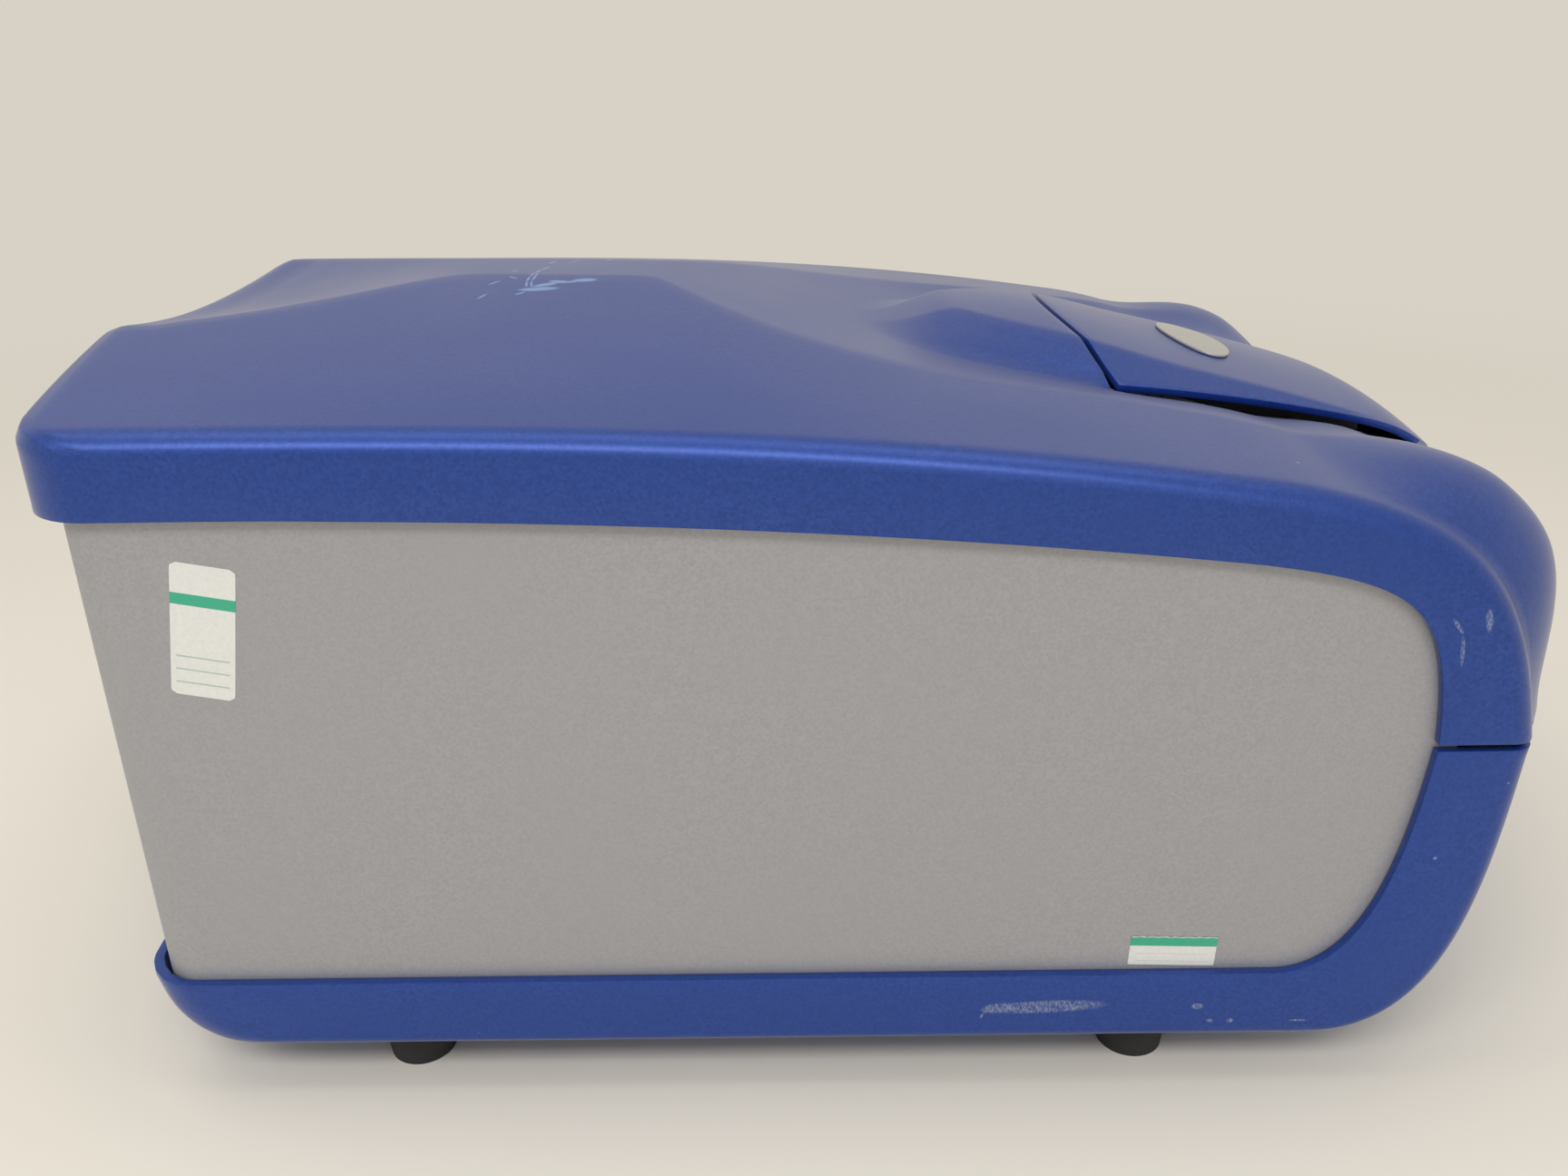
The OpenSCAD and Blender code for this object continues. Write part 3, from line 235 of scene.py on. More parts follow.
def start_material(name):
    """An empty material with its shader, its output and the piece's own coordinates."""
    material = bpy.data.materials.new(name)
    material.use_nodes = True
    tree = material.node_tree
    tree.nodes.clear()
    shader = add(tree, "ShaderNodeBsdfPrincipled")
    add(tree, "ShaderNodeOutputMaterial", {"Surface": shader.outputs[0]})
    return material, tree, shader, add(tree, "ShaderNodeTexCoord").outputs["Object"]


# Satin metallic paint: blue with fine aluminium flake under a thin matt lacquer, sprayed over mouldings.
# Flakes of about 0.1 mm would not show at this distance, so they are drawn 0.9 mm across.
blue_paint, tree, shader, place = start_material("satin_metallic_blue_paint")
flakes = add(tree, "ShaderNodeTexVoronoi", {"Vector": place, "Scale": 1 / 0.0009})
flake = add(tree, "ShaderNodeSeparateColor", {"Color": flakes.outputs["Color"]}).outputs["Red"]
cloud = add(tree, "ShaderNodeTexNoise", {"Vector": place, "Scale": 1 / 0.045, "Detail": 3}).outputs["Fac"]
coat = add(tree, "ShaderNodeMix", {"Factor": flake, 6: linear("#183a88"), 7: linear("#294ca0")},
           data_type="RGBA")
coat = add(tree, "ShaderNodeMix", {"Factor": cloud, 6: coat.outputs[2], 7: linear("#204394")},
           data_type="RGBA")
nicks = add(tree, "ShaderNodeTexVoronoi", {"Vector": place, "Scale": 1 / 0.016})
pick = add(tree, "ShaderNodeSeparateColor", {"Color": nicks.outputs["Color"]}).outputs["Green"]
near = add(tree, "ShaderNodeMapRange", {"Value": nicks.outputs["Distance"], "From Min": 0.030,
                                        "From Max": 0.045, "To Min": 1.0, "To Max": 0.0})
rare = add(tree, "ShaderNodeMath", {0: pick, 1: 0.72}, operation="GREATER_THAN")
nick = add(tree, "ShaderNodeMath", {0: near.outputs[0], 1: rare.outputs[0]}, operation="MULTIPLY")
coat = add(tree, "ShaderNodeMix", {"Factor": nick.outputs[0], 6: coat.outputs[2], 7: linear("#6f88c8")},
           data_type="RGBA")


# Wear: pale scratches in the lacquer on top, and a chalky scuff with a few chips low on the left side.
# The scuff is broken into slanting flecks about 0.6 mm wide.
def worn(strokes, on_top):
    """Where the paint is marked: long ellipses between two points in mm, on the top or on the left side."""
    total = 0.0
    for a0, b0, a1, b1, wide in strokes:
        turn, reach = math.atan2(b1 - b0, a1 - a0), math.hypot(a1 - a0, b1 - b0) / 2 + wide
        a, b = (a0 + a1) / 2, (b0 + b1) / 2
        middle, size = (-half_w, a, b), (5.0, reach, wide)
        if on_top:
            middle, size = (a, b, 230.0), (reach, wide, 9.0)
        spot = add(tree, "ShaderNodeMapping", {"Vector": place, "Location": [c * 0.001 for c in middle],
                                               "Rotation": (0, 0, turn) if on_top else (turn, 0, 0),
                                               "Scale": [c * 0.001 for c in size]}, vector_type="TEXTURE")
        spot = add(tree, "ShaderNodeTexGradient", {"Vector": spot.outputs[0]}, gradient_type="SPHERICAL")
        total = add(tree, "ShaderNodeMath", {0: total, 1: spot.outputs["Fac"]}, operation="MAXIMUM")
        total = total.outputs[0]
    return add(tree, "ShaderNodeMapRange", {"Value": total, "From Max": 0.35}).outputs[0]


scratches = [(-34.8, 98.2, -28.2, 99.3, 0.5), (-28.2, 99.3, -22.7, 99.2, 0.5),
             (-22.7, 99.2, -16.5, 98.4, 0.5), (-16.5, 98.4, -8.3, 97.5, 0.6),
             (-8.3, 97.5, -1.6, 96.0, 0.7), (-34.8, 96.5, -28.1, 97.6, 0.5),
             (-28.1, 97.6, -16.4, 97.1, 0.5), (-38.0, 99.0, -36.0, 88.4, 2.4),
             (-33.6, 95.0, -30.2, 89.3, 1.9), (-28.0, 90.3, -28.6, 85.6, 1.9),
             (-28.9, 85.5, -27.4, 81.8, 1.2), (-26.6, 82.1, -25.5, 77.0, 2.3),
             (-43.4, 100.2, -40.6, 97.9, 0.7), (7.0, 97.5, 13.5, 95.8, 0.7),
             (24.0, 97.6, 34.0, 96.2, 0.7), (8.9, 90.8, 14.9, 87.2, 0.6),
             (14.1, 77.2, 26.0, 75.5, 0.5), (-48.3, 112.1, -42.8, 110.1, 0.6),
             (-32.4, 111.7, -27.5, 108.4, 0.6), (-22.5, 106.3, -24.7, 103.4, 0.6),
             (-12.1, 106.9, -10.9, 106.1, 0.9)]
scuffs = [(-48.9, 29.7, -84.5, 31.1, 2.6), (-48.9, 29.6, -55.5, 30.5, 2.2),
          (-47.0, 26.5, -47.9, 28.0, 0.5), (-112.6, 29.9, -114.0, 29.9, 1.3),
          (-117.2, 24.4, -118.0, 24.4, 0.8), (-123.6, 24.3, -124.4, 24.3, 0.9),
          (-142.0, 24.2, -148.0, 24.1, 0.4), (-168.0, 158.4, -171.0, 154.5, 0.7),
          (-171.4, 153.4, -172.4, 145.0, 0.7), (-177.0, 160.5, -178.0, 155.5, 1.2)]
slant = add(tree, "ShaderNodeMapping", {"Vector": place, "Rotation": (math.radians(35), 0, 0),
                                        "Scale": (1 / 0.0006, 1 / 0.0006, 1 / 0.0012)}).outputs[0]
fleck = add(tree, "ShaderNodeTexNoise", {"Vector": slant, "Scale": 1.0, "Detail": 6, "Roughness": 0.75})
fleck = add(tree, "ShaderNodeMapRange", {"Value": fleck.outputs["Fac"], "From Min": 0.40, "From Max": 0.66,
                                         "To Max": 0.8}).outputs[0]
broken = add(tree, "ShaderNodeMath", {0: worn(scuffs, False), 1: fleck}, operation="MULTIPLY").outputs[0]
coat = add(tree, "ShaderNodeMix", {"Factor": broken, 6: coat.outputs[2], 7: linear("#a4afc6")},
           data_type="RGBA")
coat = add(tree, "ShaderNodeMix", {"Factor": worn(scratches, True), 6: coat.outputs[2],
                                   7: linear("#769ad6")}, data_type="RGBA")
tree.links.new(coat.outputs[2], shader.inputs["Base Color"])
gloss = add(tree, "ShaderNodeMapRange", {"Value": cloud, "To Min": 0.33, "To Max": 0.41})
tree.links.new(gloss.outputs[0], shader.inputs["Roughness"])
peel = add(tree, "ShaderNodeTexNoise", {"Vector": place, "Scale": 1 / 0.0022, "Detail": 2}).outputs["Fac"]
relief = add(tree, "ShaderNodeBump", {"Height": peel, "Strength": 0.10, "Distance": 0.0003})
tree.links.new(relief.outputs[0], shader.inputs["Normal"])
shader.inputs["Metallic"].default_value = 0.45
shader.inputs["Coat Weight"].default_value = 0.35
shader.inputs["Coat Roughness"].default_value = 0.34
shader.inputs["Specular IOR Level"].default_value = 0.35
shader.inputs["Sheen Weight"].default_value = 0.3
shader.inputs["Sheen Roughness"].default_value = 0.25
shader.inputs["Sheen Tint"].default_value = linear("#d8cdbd")
base_tray.data.materials.append(blue_paint)
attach(base_tray, "casing")
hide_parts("base_tray")


# Rubber feet: four moulded frusta of black nitrile rubber, each held by one screw up through its recess.
# Moulded rubber is matt, with a faint pebble and a little grey dust in it.
rubber, tree, shader, place = start_material("black_nitrile_rubber")
pebble = add(tree, "ShaderNodeTexNoise", {"Vector": place, "Scale": 1 / 0.0012, "Detail": 4}).outputs["Fac"]
dust = add(tree, "ShaderNodeTexNoise", {"Vector": place, "Scale": 1 / 0.009, "Detail": 3}).outputs["Fac"]
tone = add(tree, "ShaderNodeMix", {"Factor": dust, 6: linear("#141416"), 7: linear("#2b2b2e")},
           data_type="RGBA")
tree.links.new(tone.outputs[2], shader.inputs["Base Color"])
relief = add(tree, "ShaderNodeBump", {"Height": pebble, "Strength": 0.25, "Distance": 0.0003})
tree.links.new(relief.outputs[0], shader.inputs["Normal"])
shader.inputs["Roughness"].default_value = 0.72


def dress(material, *names):
    """Gives CAD nodes their finish."""
    for name in names:
        piece = nodes[name]
        if not piece.material_slots:
            piece.data.materials.append(material)
        for slot in piece.material_slots:
            slot.material = material


dress(rubber, "front_left_foot", "front_right_foot", "rear_left_foot", "rear_right_foot", "bay_seal")


# Fasteners, rails and pins: ground and zinc-plated steel, with fine turning marks along the work.
# The marks of about 0.05 mm are drawn 0.6 mm apart so that they show.
steel, tree, shader, place = start_material("ground_zinc_plated_steel")
marks = add(tree, "ShaderNodeTexNoise", {"Vector": place, "Scale": 1 / 0.0006, "Detail": 2}).outputs["Fac"]
tone = add(tree, "ShaderNodeMix", {"Factor": marks, 6: linear("#a7abb0"), 7: linear("#cdd0d3")},
           data_type="RGBA")
tree.links.new(tone.outputs[2], shader.inputs["Base Color"])
gloss = add(tree, "ShaderNodeMapRange", {"Value": marks, "To Min": 0.18, "To Max": 0.34})
tree.links.new(gloss.outputs[0], shader.inputs["Roughness"])
shader.inputs["Metallic"].default_value = 1.0
dress(steel, "foot_screws", "lid_hinge_pins", "carriage_rails", "head_rails", "clamp_pin", "slide_clamp",
      "lid_magnet", "fan_guard")


# Chassis: posts, plate and end blocks of milled aluminium with a clear anodised skin.
# End mills leave faint arcs; bead blasting before anodising leaves a fine grain.
aluminium, tree, shader, place = start_material("clear_anodised_aluminium")
grain = add(tree, "ShaderNodeTexNoise", {"Vector": place, "Scale": 1 / 0.0008, "Detail": 4}).outputs["Fac"]
sweep = add(tree, "ShaderNodeTexWave", {"Vector": place, "Scale": 1 / 0.02, "Distortion": 2.0, "Detail": 1},
            wave_type="RINGS").outputs["Fac"]
tone = add(tree, "ShaderNodeMix", {"Factor": grain, 6: linear("#9fa3a8"), 7: linear("#bfc3c7")},
           data_type="RGBA")
tree.links.new(tone.outputs[2], shader.inputs["Base Color"])
gloss = add(tree, "ShaderNodeMapRange", {"Value": sweep, "To Min": 0.34, "To Max": 0.44})
tree.links.new(gloss.outputs[0], shader.inputs["Roughness"])
shader.inputs["Metallic"].default_value = 0.9
dress(aluminium, "chassis_posts", "chassis_plate", "front_rail_block", "rear_rail_block", "head_posts",
      "lid_hinge_brackets", "lid_hinge_arms", "fold_mirrors")


# Moving works and light boxes: carriage, scan head, lasers, detectors and motors in black anodise.
# They are aluminium, and the dye gives a deep neutral black with a soft metallic gleam on edges.
black_anodised, tree, shader, place = start_material("black_anodised_aluminium")
grain = add(tree, "ShaderNodeTexNoise", {"Vector": place, "Scale": 1 / 0.0007, "Detail": 3}).outputs["Fac"]
tone = add(tree, "ShaderNodeMix", {"Factor": grain, 6: linear("#1b1c1f"), 7: linear("#34363a")},
           data_type="RGBA")
tree.links.new(tone.outputs[2], shader.inputs["Base Color"])
gloss = add(tree, "ShaderNodeMapRange", {"Value": grain, "To Min": 0.36, "To Max": 0.52})
tree.links.new(gloss.outputs[0], shader.inputs["Roughness"])
shader.inputs["Metallic"].default_value = 0.6
dress(black_anodised, "slide_carriage", "scan_head", "carriage_motor", "voice_coil_magnet", "green_laser",
      "red_laser", "green_detector", "red_detector", "objective_lens")


# Lead screw: rolled phosphor bronze, with painted highlights on the flanks and painted shade in the valleys.
# The 12 mm lead is drawn as a slow band round the rod, its light and shade painted into the colour.
bronze, tree, shader, place = start_material("rolled_phosphor_bronze")
thread_light_and_shade = add(tree, "ShaderNodeTexWave", {"Vector": place, "Scale": 1 / 0.012 / 20, "Distortion": 0.5},
             bands_direction="Y").outputs["Fac"]
# Dark bands are painted shade for the thread's valleys; bright bands are painted highlight for its flanks.
tone = add(tree, "ShaderNodeMix", {"Factor": thread_light_and_shade, 6: linear("#7a5a22"), 7: linear("#c39a4e")},
           data_type="RGBA")
tree.links.new(tone.outputs[2], shader.inputs["Base Color"])
shader.inputs["Metallic"].default_value = 1.0
shader.inputs["Roughness"].default_value = 0.3
dress(bronze, "lead_screw")


# Electronics: a glass-epoxy board under green solder mask, and a supply in a folded galvanised case.
# The mask is glossy over faint copper tracks; galvanising shows large soft spangles.
board_mask, tree, shader, place = start_material("green_solder_mask")
tracks = add(tree, "ShaderNodeTexBrick", {"Vector": place, "Scale": 1 / 0.02, "Mortar Size": 0.04,
                                          "Color1": linear("#1b5137"), "Color2": linear("#1f5b3d"),
                                          "Mortar": linear("#2d7a50")})
tree.links.new(tracks.outputs["Color"], shader.inputs["Base Color"])
shader.inputs["Roughness"].default_value = 0.3
dress(board_mask, "main_board")
galvanised, tree, shader, place = start_material("galvanised_steel")
spangle = add(tree, "ShaderNodeTexVoronoi", {"Vector": place, "Scale": 1 / 0.012}).outputs["Color"]
spangle = add(tree, "ShaderNodeSeparateColor", {"Color": spangle}).outputs["Red"]
tone = add(tree, "ShaderNodeMix", {"Factor": spangle, 6: linear("#9a9fa3"), 7: linear("#b9bdc0")},
           data_type="RGBA")
tree.links.new(tone.outputs[2], shader.inputs["Base Color"])
gloss = add(tree, "ShaderNodeMapRange", {"Value": spangle, "To Min": 0.32, "To Max": 0.5})
tree.links.new(gloss.outputs[0], shader.inputs["Roughness"])
shader.inputs["Metallic"].default_value = 0.9
dress(galvanised, "power_supply")


# Side and rear panels: steel sheet in a warm light-grey textured paint, bent round the rear corners.
# The paint carries a fine metallic speckle over a low leather-like texture.
grey_paint, tree, shader, place = start_material("speckled_warm_grey_paint")
speck = add(tree, "ShaderNodeTexVoronoi", {"Vector": place, "Scale": 1 / 0.0008}).outputs["Color"]
speck = add(tree, "ShaderNodeSeparateColor", {"Color": speck}).outputs["Red"]
haze = add(tree, "ShaderNodeTexNoise", {"Vector": place, "Scale": 1 / 0.06, "Detail": 2}).outputs["Fac"]
tone = add(tree, "ShaderNodeMix", {"Factor": speck, 6: linear("#9b9a9d"), 7: linear("#aaa9ac")},
           data_type="RGBA")
tone = add(tree, "ShaderNodeMix", {"Factor": haze, 6: tone.outputs[2], 7: linear("#a3a2a5")},
           data_type="RGBA")
tree.links.new(tone.outputs[2], shader.inputs["Base Color"])
leather = add(tree, "ShaderNodeTexNoise", {"Vector": place, "Scale": 1 / 0.0016, "Detail": 3})
relief = add(tree, "ShaderNodeBump", {"Height": leather.outputs["Fac"], "Strength": 0.12,
                                      "Distance": 0.0003})
tree.links.new(relief.outputs[0], shader.inputs["Normal"])
shader.inputs["Roughness"].default_value = 0.5
shader.inputs["Metallic"].default_value = 0.25
dress(grey_paint, "left_side_panel", "right_side_panel", "rear_panel")


# Stickers on the left panel: two blank paper inspection labels with a plain green band and ruled lines.
# The paper is matt with a faint fibre; the lower label has lifted and creased a little along its top edge.
paper, tree, shader, place = start_material("blank_label_paper")
across = add(tree, "ShaderNodeUVMap", uv_map="label").outputs["UV"]
down = add(tree, "ShaderNodeSeparateXYZ", {"Vector": across})
fibre = add(tree, "ShaderNodeTexNoise", {"Vector": place, "Scale": 1 / 0.0012, "Detail": 4}).outputs["Fac"]
tone = add(tree, "ShaderNodeMix", {"Factor": fibre, 6: linear("#d9dad6"), 7: linear("#ecece8")},
           data_type="RGBA")
band_low = add(tree, "ShaderNodeMath", {0: down.outputs["Y"], 1: 0.0}, operation="GREATER_THAN")
band_high = add(tree, "ShaderNodeMath", {0: down.outputs["Y"], 1: 1.0}, operation="LESS_THAN")
band = add(tree, "ShaderNodeMath", {0: band_low.outputs[0], 1: band_high.outputs[0]}, operation="MULTIPLY")
tone = add(tree, "ShaderNodeMix", {"Factor": band.outputs[0], 6: tone.outputs[2], 7: linear("#3fae8c")},
           data_type="RGBA")
ruled = add(tree, "ShaderNodeMath", {0: down.outputs["X"], 1: 0.5}, operation="GREATER_THAN")
tone = add(tree, "ShaderNodeMix", {"Factor": ruled.outputs[0], 6: tone.outputs[2], 7: linear("#b4c4bc")},
           data_type="RGBA")
tree.links.new(tone.outputs[2], shader.inputs["Base Color"])
shader.inputs["Roughness"].default_value = 0.6
panel_face = -(half_w - wall - 0.3)


def label(name, centre, size, tilt, band_span, rules, ripple):
    """A thin rounded label on the left panel; band_span and rules are shares of its height from the top."""
    w, h = size
    r, cuts, rule_half, raised = 1.6 if ripple == 0 else 0.4, 24, 0.006, 0.12
    verts, uvs, faces = [], [], []
    lines = sorted(set([i / 40 for i in range(41)] + list(band_span)
                       + [e for q in rules for e in (q - rule_half, q + rule_half)]))
    for v in lines:
        drop = min(v * h, (1 - v) * h)
        inset = r - math.sqrt(max(0.0, r * r - (r - drop) ** 2)) if drop < r else 0.0
        for i in range(cuts + 1):
            a = (i / cuts - 0.5) * (w - 2 * inset)
            lift = raised + ripple * max(0.0, 0.25 - v) * (0.5 + 0.5 * math.sin(i * 1.9)) * 1.2
            b = (0.5 - v) * h + ripple * (0.12 * math.sin(i * 2.7) if v == 0 else 0)
            y = centre[0] - (a * math.cos(tilt) + b * math.sin(tilt))
            z = centre[1] + b * math.cos(tilt) - a * math.sin(tilt)
            verts.append(((panel_face - lift) * 0.001, y * 0.001, z * 0.001))
    wide = cuts + 1
    for j in range(len(lines) - 1):
        middle = (lines[j] + lines[j + 1]) / 2
        mark = 1.0 if any(abs(middle - q) < rule_half for q in rules) else 0.0
        green = (middle - band_span[0]) / (band_span[1] - band_span[0])
        for i in range(cuts):
            a = j * wide + i
            inside = mark if 2 <= i < cuts - 2 else 0.0
            faces.append((a, a + wide, a + wide + 1, a + 1))
            uvs += [(inside, green)] * 4
    piece = new_piece(name, verts, faces)
    layer = piece.data.uv_layers.new(name="label")
    layer.data.foreach_set("uv", [c for uv in uvs for c in uv])
    piece.data.materials.append(paper)
    thin = piece.modifiers.new("paper", "SOLIDIFY")
    thin.thickness, thin.offset = 0.00010, -1
    shade(made_real(piece), 30)
    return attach(piece, "casing")


label("upper_label", (169.2, 158.1), (17.5, 39.6), math.radians(10.2), (0.225, 0.31),
      (0.70, 0.80, 0.90), 0)
label("lower_label", (-104.8, 48.3), (26.2, 10.4), math.radians(1.8), (0.02, 0.33), (0.60, 0.86), 1)


# Rear fittings and bay: power entry, switch, fan and bay surround in black glass-filled plastic.
# The mould's spark texture of about 0.3 mm is drawn 0.8 mm so that it shows; the data port's shell is steel.
black_plastic, tree, shader, place = start_material("black_textured_plastic")
spark = add(tree, "ShaderNodeTexNoise", {"Vector": place, "Scale": 1 / 0.0008, "Detail": 3}).outputs["Fac"]
tone = add(tree, "ShaderNodeMix", {"Factor": spark, 6: linear("#17181a"), 7: linear("#26272a")},
           data_type="RGBA")
tree.links.new(tone.outputs[2], shader.inputs["Base Color"])
relief = add(tree, "ShaderNodeBump", {"Height": spark, "Strength": 0.3, "Distance": 0.0003})
tree.links.new(relief.outputs[0], shader.inputs["Normal"])
shader.inputs["Roughness"].default_value = 0.48
dress(black_plastic, "power_inlet", "power_switch", "fan_frame", "fan_rotor", "bay_surround", "lid_sensor")
dress(steel, "data_port")


# Panel screws: pan-head cross-recess screws in zinc plate, in a row down each edge of the rear panel.
# One tree of nodes sets the same screw at every place.
screws = bpy.data.node_groups.new("panel_screws", "GeometryNodeTree")
screws.interface.new_socket("Places", in_out="INPUT", socket_type="NodeSocketGeometry")
screws.interface.new_socket("Head radius", in_out="INPUT", socket_type="NodeSocketFloat")
screws.interface.new_socket("Head height", in_out="INPUT", socket_type="NodeSocketFloat")
screws.interface.new_socket("Screws", in_out="OUTPUT", socket_type="NodeSocketGeometry")
given = add(screws, "NodeGroupInput")
radius, height = given.outputs["Head radius"], given.outputs["Head height"]
head = add(screws, "GeometryNodeMeshCylinder", {"Vertices": 24, "Radius": radius, "Depth": height})
half = add(screws, "ShaderNodeMath", {0: height, 1: 0.5}, operation="MULTIPLY").outputs[0]
slot_long = add(screws, "ShaderNodeMath", {0: radius, 1: 1.1}, operation="MULTIPLY").outputs[0]
slot_thin = add(screws, "ShaderNodeMath", {0: radius, 1: 0.26}, operation="MULTIPLY").outputs[0]
bar_a = add(screws, "GeometryNodeMeshCube", {"Size": add(screws, "ShaderNodeCombineXYZ", {
    "X": slot_long, "Y": slot_thin, "Z": height}).outputs[0]})
bar_b = add(screws, "GeometryNodeMeshCube", {"Size": add(screws, "ShaderNodeCombineXYZ", {
    "X": slot_thin, "Y": slot_long, "Z": height}).outputs[0]})
recess = add(screws, "GeometryNodeMeshBoolean", operation="UNION")
screws.links.new(bar_a.outputs[0], recess.inputs["Mesh 2"])
screws.links.new(bar_b.outputs[0], recess.inputs["Mesh 2"])
sunk = add(screws, "GeometryNodeTransform", {"Geometry": recess.outputs[0], "Translation": add(
    screws, "ShaderNodeCombineXYZ", {"Z": half}).outputs[0]})
cut = add(screws, "GeometryNodeMeshBoolean", {"Mesh 1": head.outputs[0], "Mesh 2": sunk.outputs[0]},
          operation="DIFFERENCE")
stood = add(screws, "GeometryNodeTransform", {"Geometry": cut.outputs[0],
                                              "Rotation": (-math.pi / 2, 0.35, 0)})
spread = add(screws, "GeometryNodeInstanceOnPoints", {"Points": given.outputs["Places"],
                                                      "Instance": stood.outputs[0]})
solid = add(screws, "GeometryNodeRealizeInstances", {"Geometry": spread.outputs[0]})
plated = add(screws, "GeometryNodeSetMaterial", {"Geometry": solid.outputs[0], "Material": steel})
add(screws, "NodeGroupOutput", {"Screws": plated.outputs[0]})
panel_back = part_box("rear_panel")[1].y
panel_screws = new_piece("rear_panel_screws", [(x * 0.001, panel_back + 0.0008, z * 0.001)
                                               for x in (-126, 126) for z in (58, 112, 166)], [])
drive = panel_screws.modifiers.new("screws", "NODES")
drive.node_group = screws
sockets = {s.name: s.identifier for s in screws.interface.items_tree if s.in_out == "INPUT"}
drive[sockets["Head radius"]] = 0.0032
drive[sockets["Head height"]] = 0.0018
made_real(panel_screws)
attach(panel_screws, "casing")


# Top cover: the upper moulding with its sloped shoulders, the two scoops, the hood over the lid hinge
# and the rounded nose. It is painted like the base, and the slide bay opens under the lid.
nose_y, seam_y, hood_tip, rear_bow = -114.0, -97.0, -16.0, 18.0
rim_z, rim_drop, band_z, band_drop = 208.0, 18.0, 191.0, 16.0
shoulder_slope, rear_scoop, front_scoop = 0.125, 6.0, 7.0
lid_len, lid_half_w, lid_top_half_w, lid_z, lid_gap = 108.0, 70.0, 57.5, 208.5, 1.8
seam_bow, lid_bow, open_x, edge_h = 11.0, 24.0, 54.0, 6.8
ridge_x, rear_spread, front_spread, nose_spread = 20.0, 72.0, 82.0, 6.0
lid_slope, lid_curve, tip_curl, tip_len = 0.19, 0.00066, 0.013, 13.0
edge_lift, hood_drop, crown, crown_more = 2.3, 7.1, 2.6, 1.6
nose_slope, scoop_turn, bay_rows = 0.05, 1.4, 32


def rim_height(y):
    return rim_z - rim_drop * max(0.0, (side_rear - y) / (side_rear - nose_y)) ** 2.6


def band_height(y):
    return band_z - band_drop * max(0.0, (side_rear - y) / (side_rear - nose_y)) ** 2.2


nose_rim = np.array([[nose_y, rim_height(nose_y)], [nose_y - 54, rim_height(nose_y) - 7.5],
                     [chin_y + 8, split_z + 43], [chin_y, split_z]])
nose_band = np.array([[nose_y, band_height(nose_y)], [nose_y - 44, band_height(nose_y) - 6],
                      [chin_y + 24, split_z + 42], [chin_y + 21, split_z]])


def rear_open(y):
    """How far the rear scoop has opened: 0 at the ridge, 1 at the rear edge."""
    return 1 - (1 - ramp(hood_tip + 122, side_rear - 1, y)) ** 2


def crest_x(y):
    wide = front_spread * (1 - math.exp((y - hood_tip - 71) / 50)) if y < hood_tip + 71 else 0
    nose_wide = nose_spread * smooth(seam_y + 20, seam_y - 50, y)
    return math.hypot(ridge_x, rear_spread * rear_open(y)) + wide + nose_wide


def foot_x(y):
    if y <= seam_y:
        return lid_half_w - 0.13 * (seam_y - y)
    hood = lid_half_w * max(0.0, 1 - math.exp((y - hood_tip) / 22))
    return math.hypot(hood, 0.3 * crest_x(y) * smooth(seam_y, hood_tip, y))


def top_x(y):
    hood = lid_top_half_w * max(0.0, 1 - math.exp((y - seam_y - 55) / 32))
    return max(min(hood, foot_x(y) - 3), 0.35 * foot_x(y))


def hood_z(s, y, e, f, drop):
    """Height of the hood and lid: crowned to the edge at e, then falling by drop to the foot at f."""
    d = seam_y - y
    lift = edge_lift * smooth(32, -14, d)
    edge = lid_z + lift - lid_slope * d - lid_curve * d * d
    edge -= tip_curl * max(0.0, d - lid_len + tip_len) ** 2
    if s > e:
        return edge - (lift + drop) * (s - e) / (f - e)
    return edge + (crown + crown_more * ramp(40, 90, d)) * min(1.0, (e / 47) ** 2) * (1 - (s / e) ** 2)


def shoulder_h(s, y):
    slope = mix(nose_slope, shoulder_slope, smooth(seam_y + 45, hood_tip + 65, y))
    run = half_w - edge_r - crest_x(y)
    return mix(edge_h, edge_r + slope * run, max(0.0, half_w - edge_r - s) / run)


def scoop_h(s, y):
    c = crest_x(y)
    dip = (1 - (s / c) ** 2) if s < c else 0
    return shoulder_h(max(s, c), y) - dip * (rear_scoop * rear_open(y) ** 2
                                             + front_scoop * ramp(hood_tip + 40, seam_y, y) ** scoop_turn)


def top_h(s, y, shift, hood, look):
    base, rise = scoop_h(s, look), hood * smooth(hood_tip, hood_tip - 42, y)
    e, f = top_x(y), foot_x(y)
    if s >= f or rise <= 0:
        return base
    return mix(base, hood_z(s, y + shift, e, f, hood_drop) - rim_height(y), rise)


def cover_marks(y, e):
    c, f, b = crest_x(y), foot_x(y), half_w - edge_r
    return finer([b - 2, b - 9, (b - 9 + c) / 2, c, (c + f) / 2, f, e, 0.66 * e, 0.33 * e, 0],
                 [2, 6, 6, 5, 5, 4, 4, 4, 4])


def lid_dip(s, y):
    deep = mix(1.2, 3.2, ramp(seam_y - 20, seam_y - 57, y))
    return deep * smooth(foot_x(y) + 7, foot_x(y) - 1, s)


def seam_shift(s, y):
    f = foot_x(y)
    fade = smooth(hood_tip, seam_y, y) if y > seam_y else smooth(seam_y - 26, seam_y, y)
    return seam_bow * (1 - (s / f) ** 2) * fade if s < f else 0


def soft_edge(height):
    return [(half_w - edge_r * (1 - math.cos(a)), height * math.sin(a)) for a in edge_turn]


rear_steps = [(0, 0), (0.5, 0), (0.8, 0), (0.95, 2), (1, 7)]


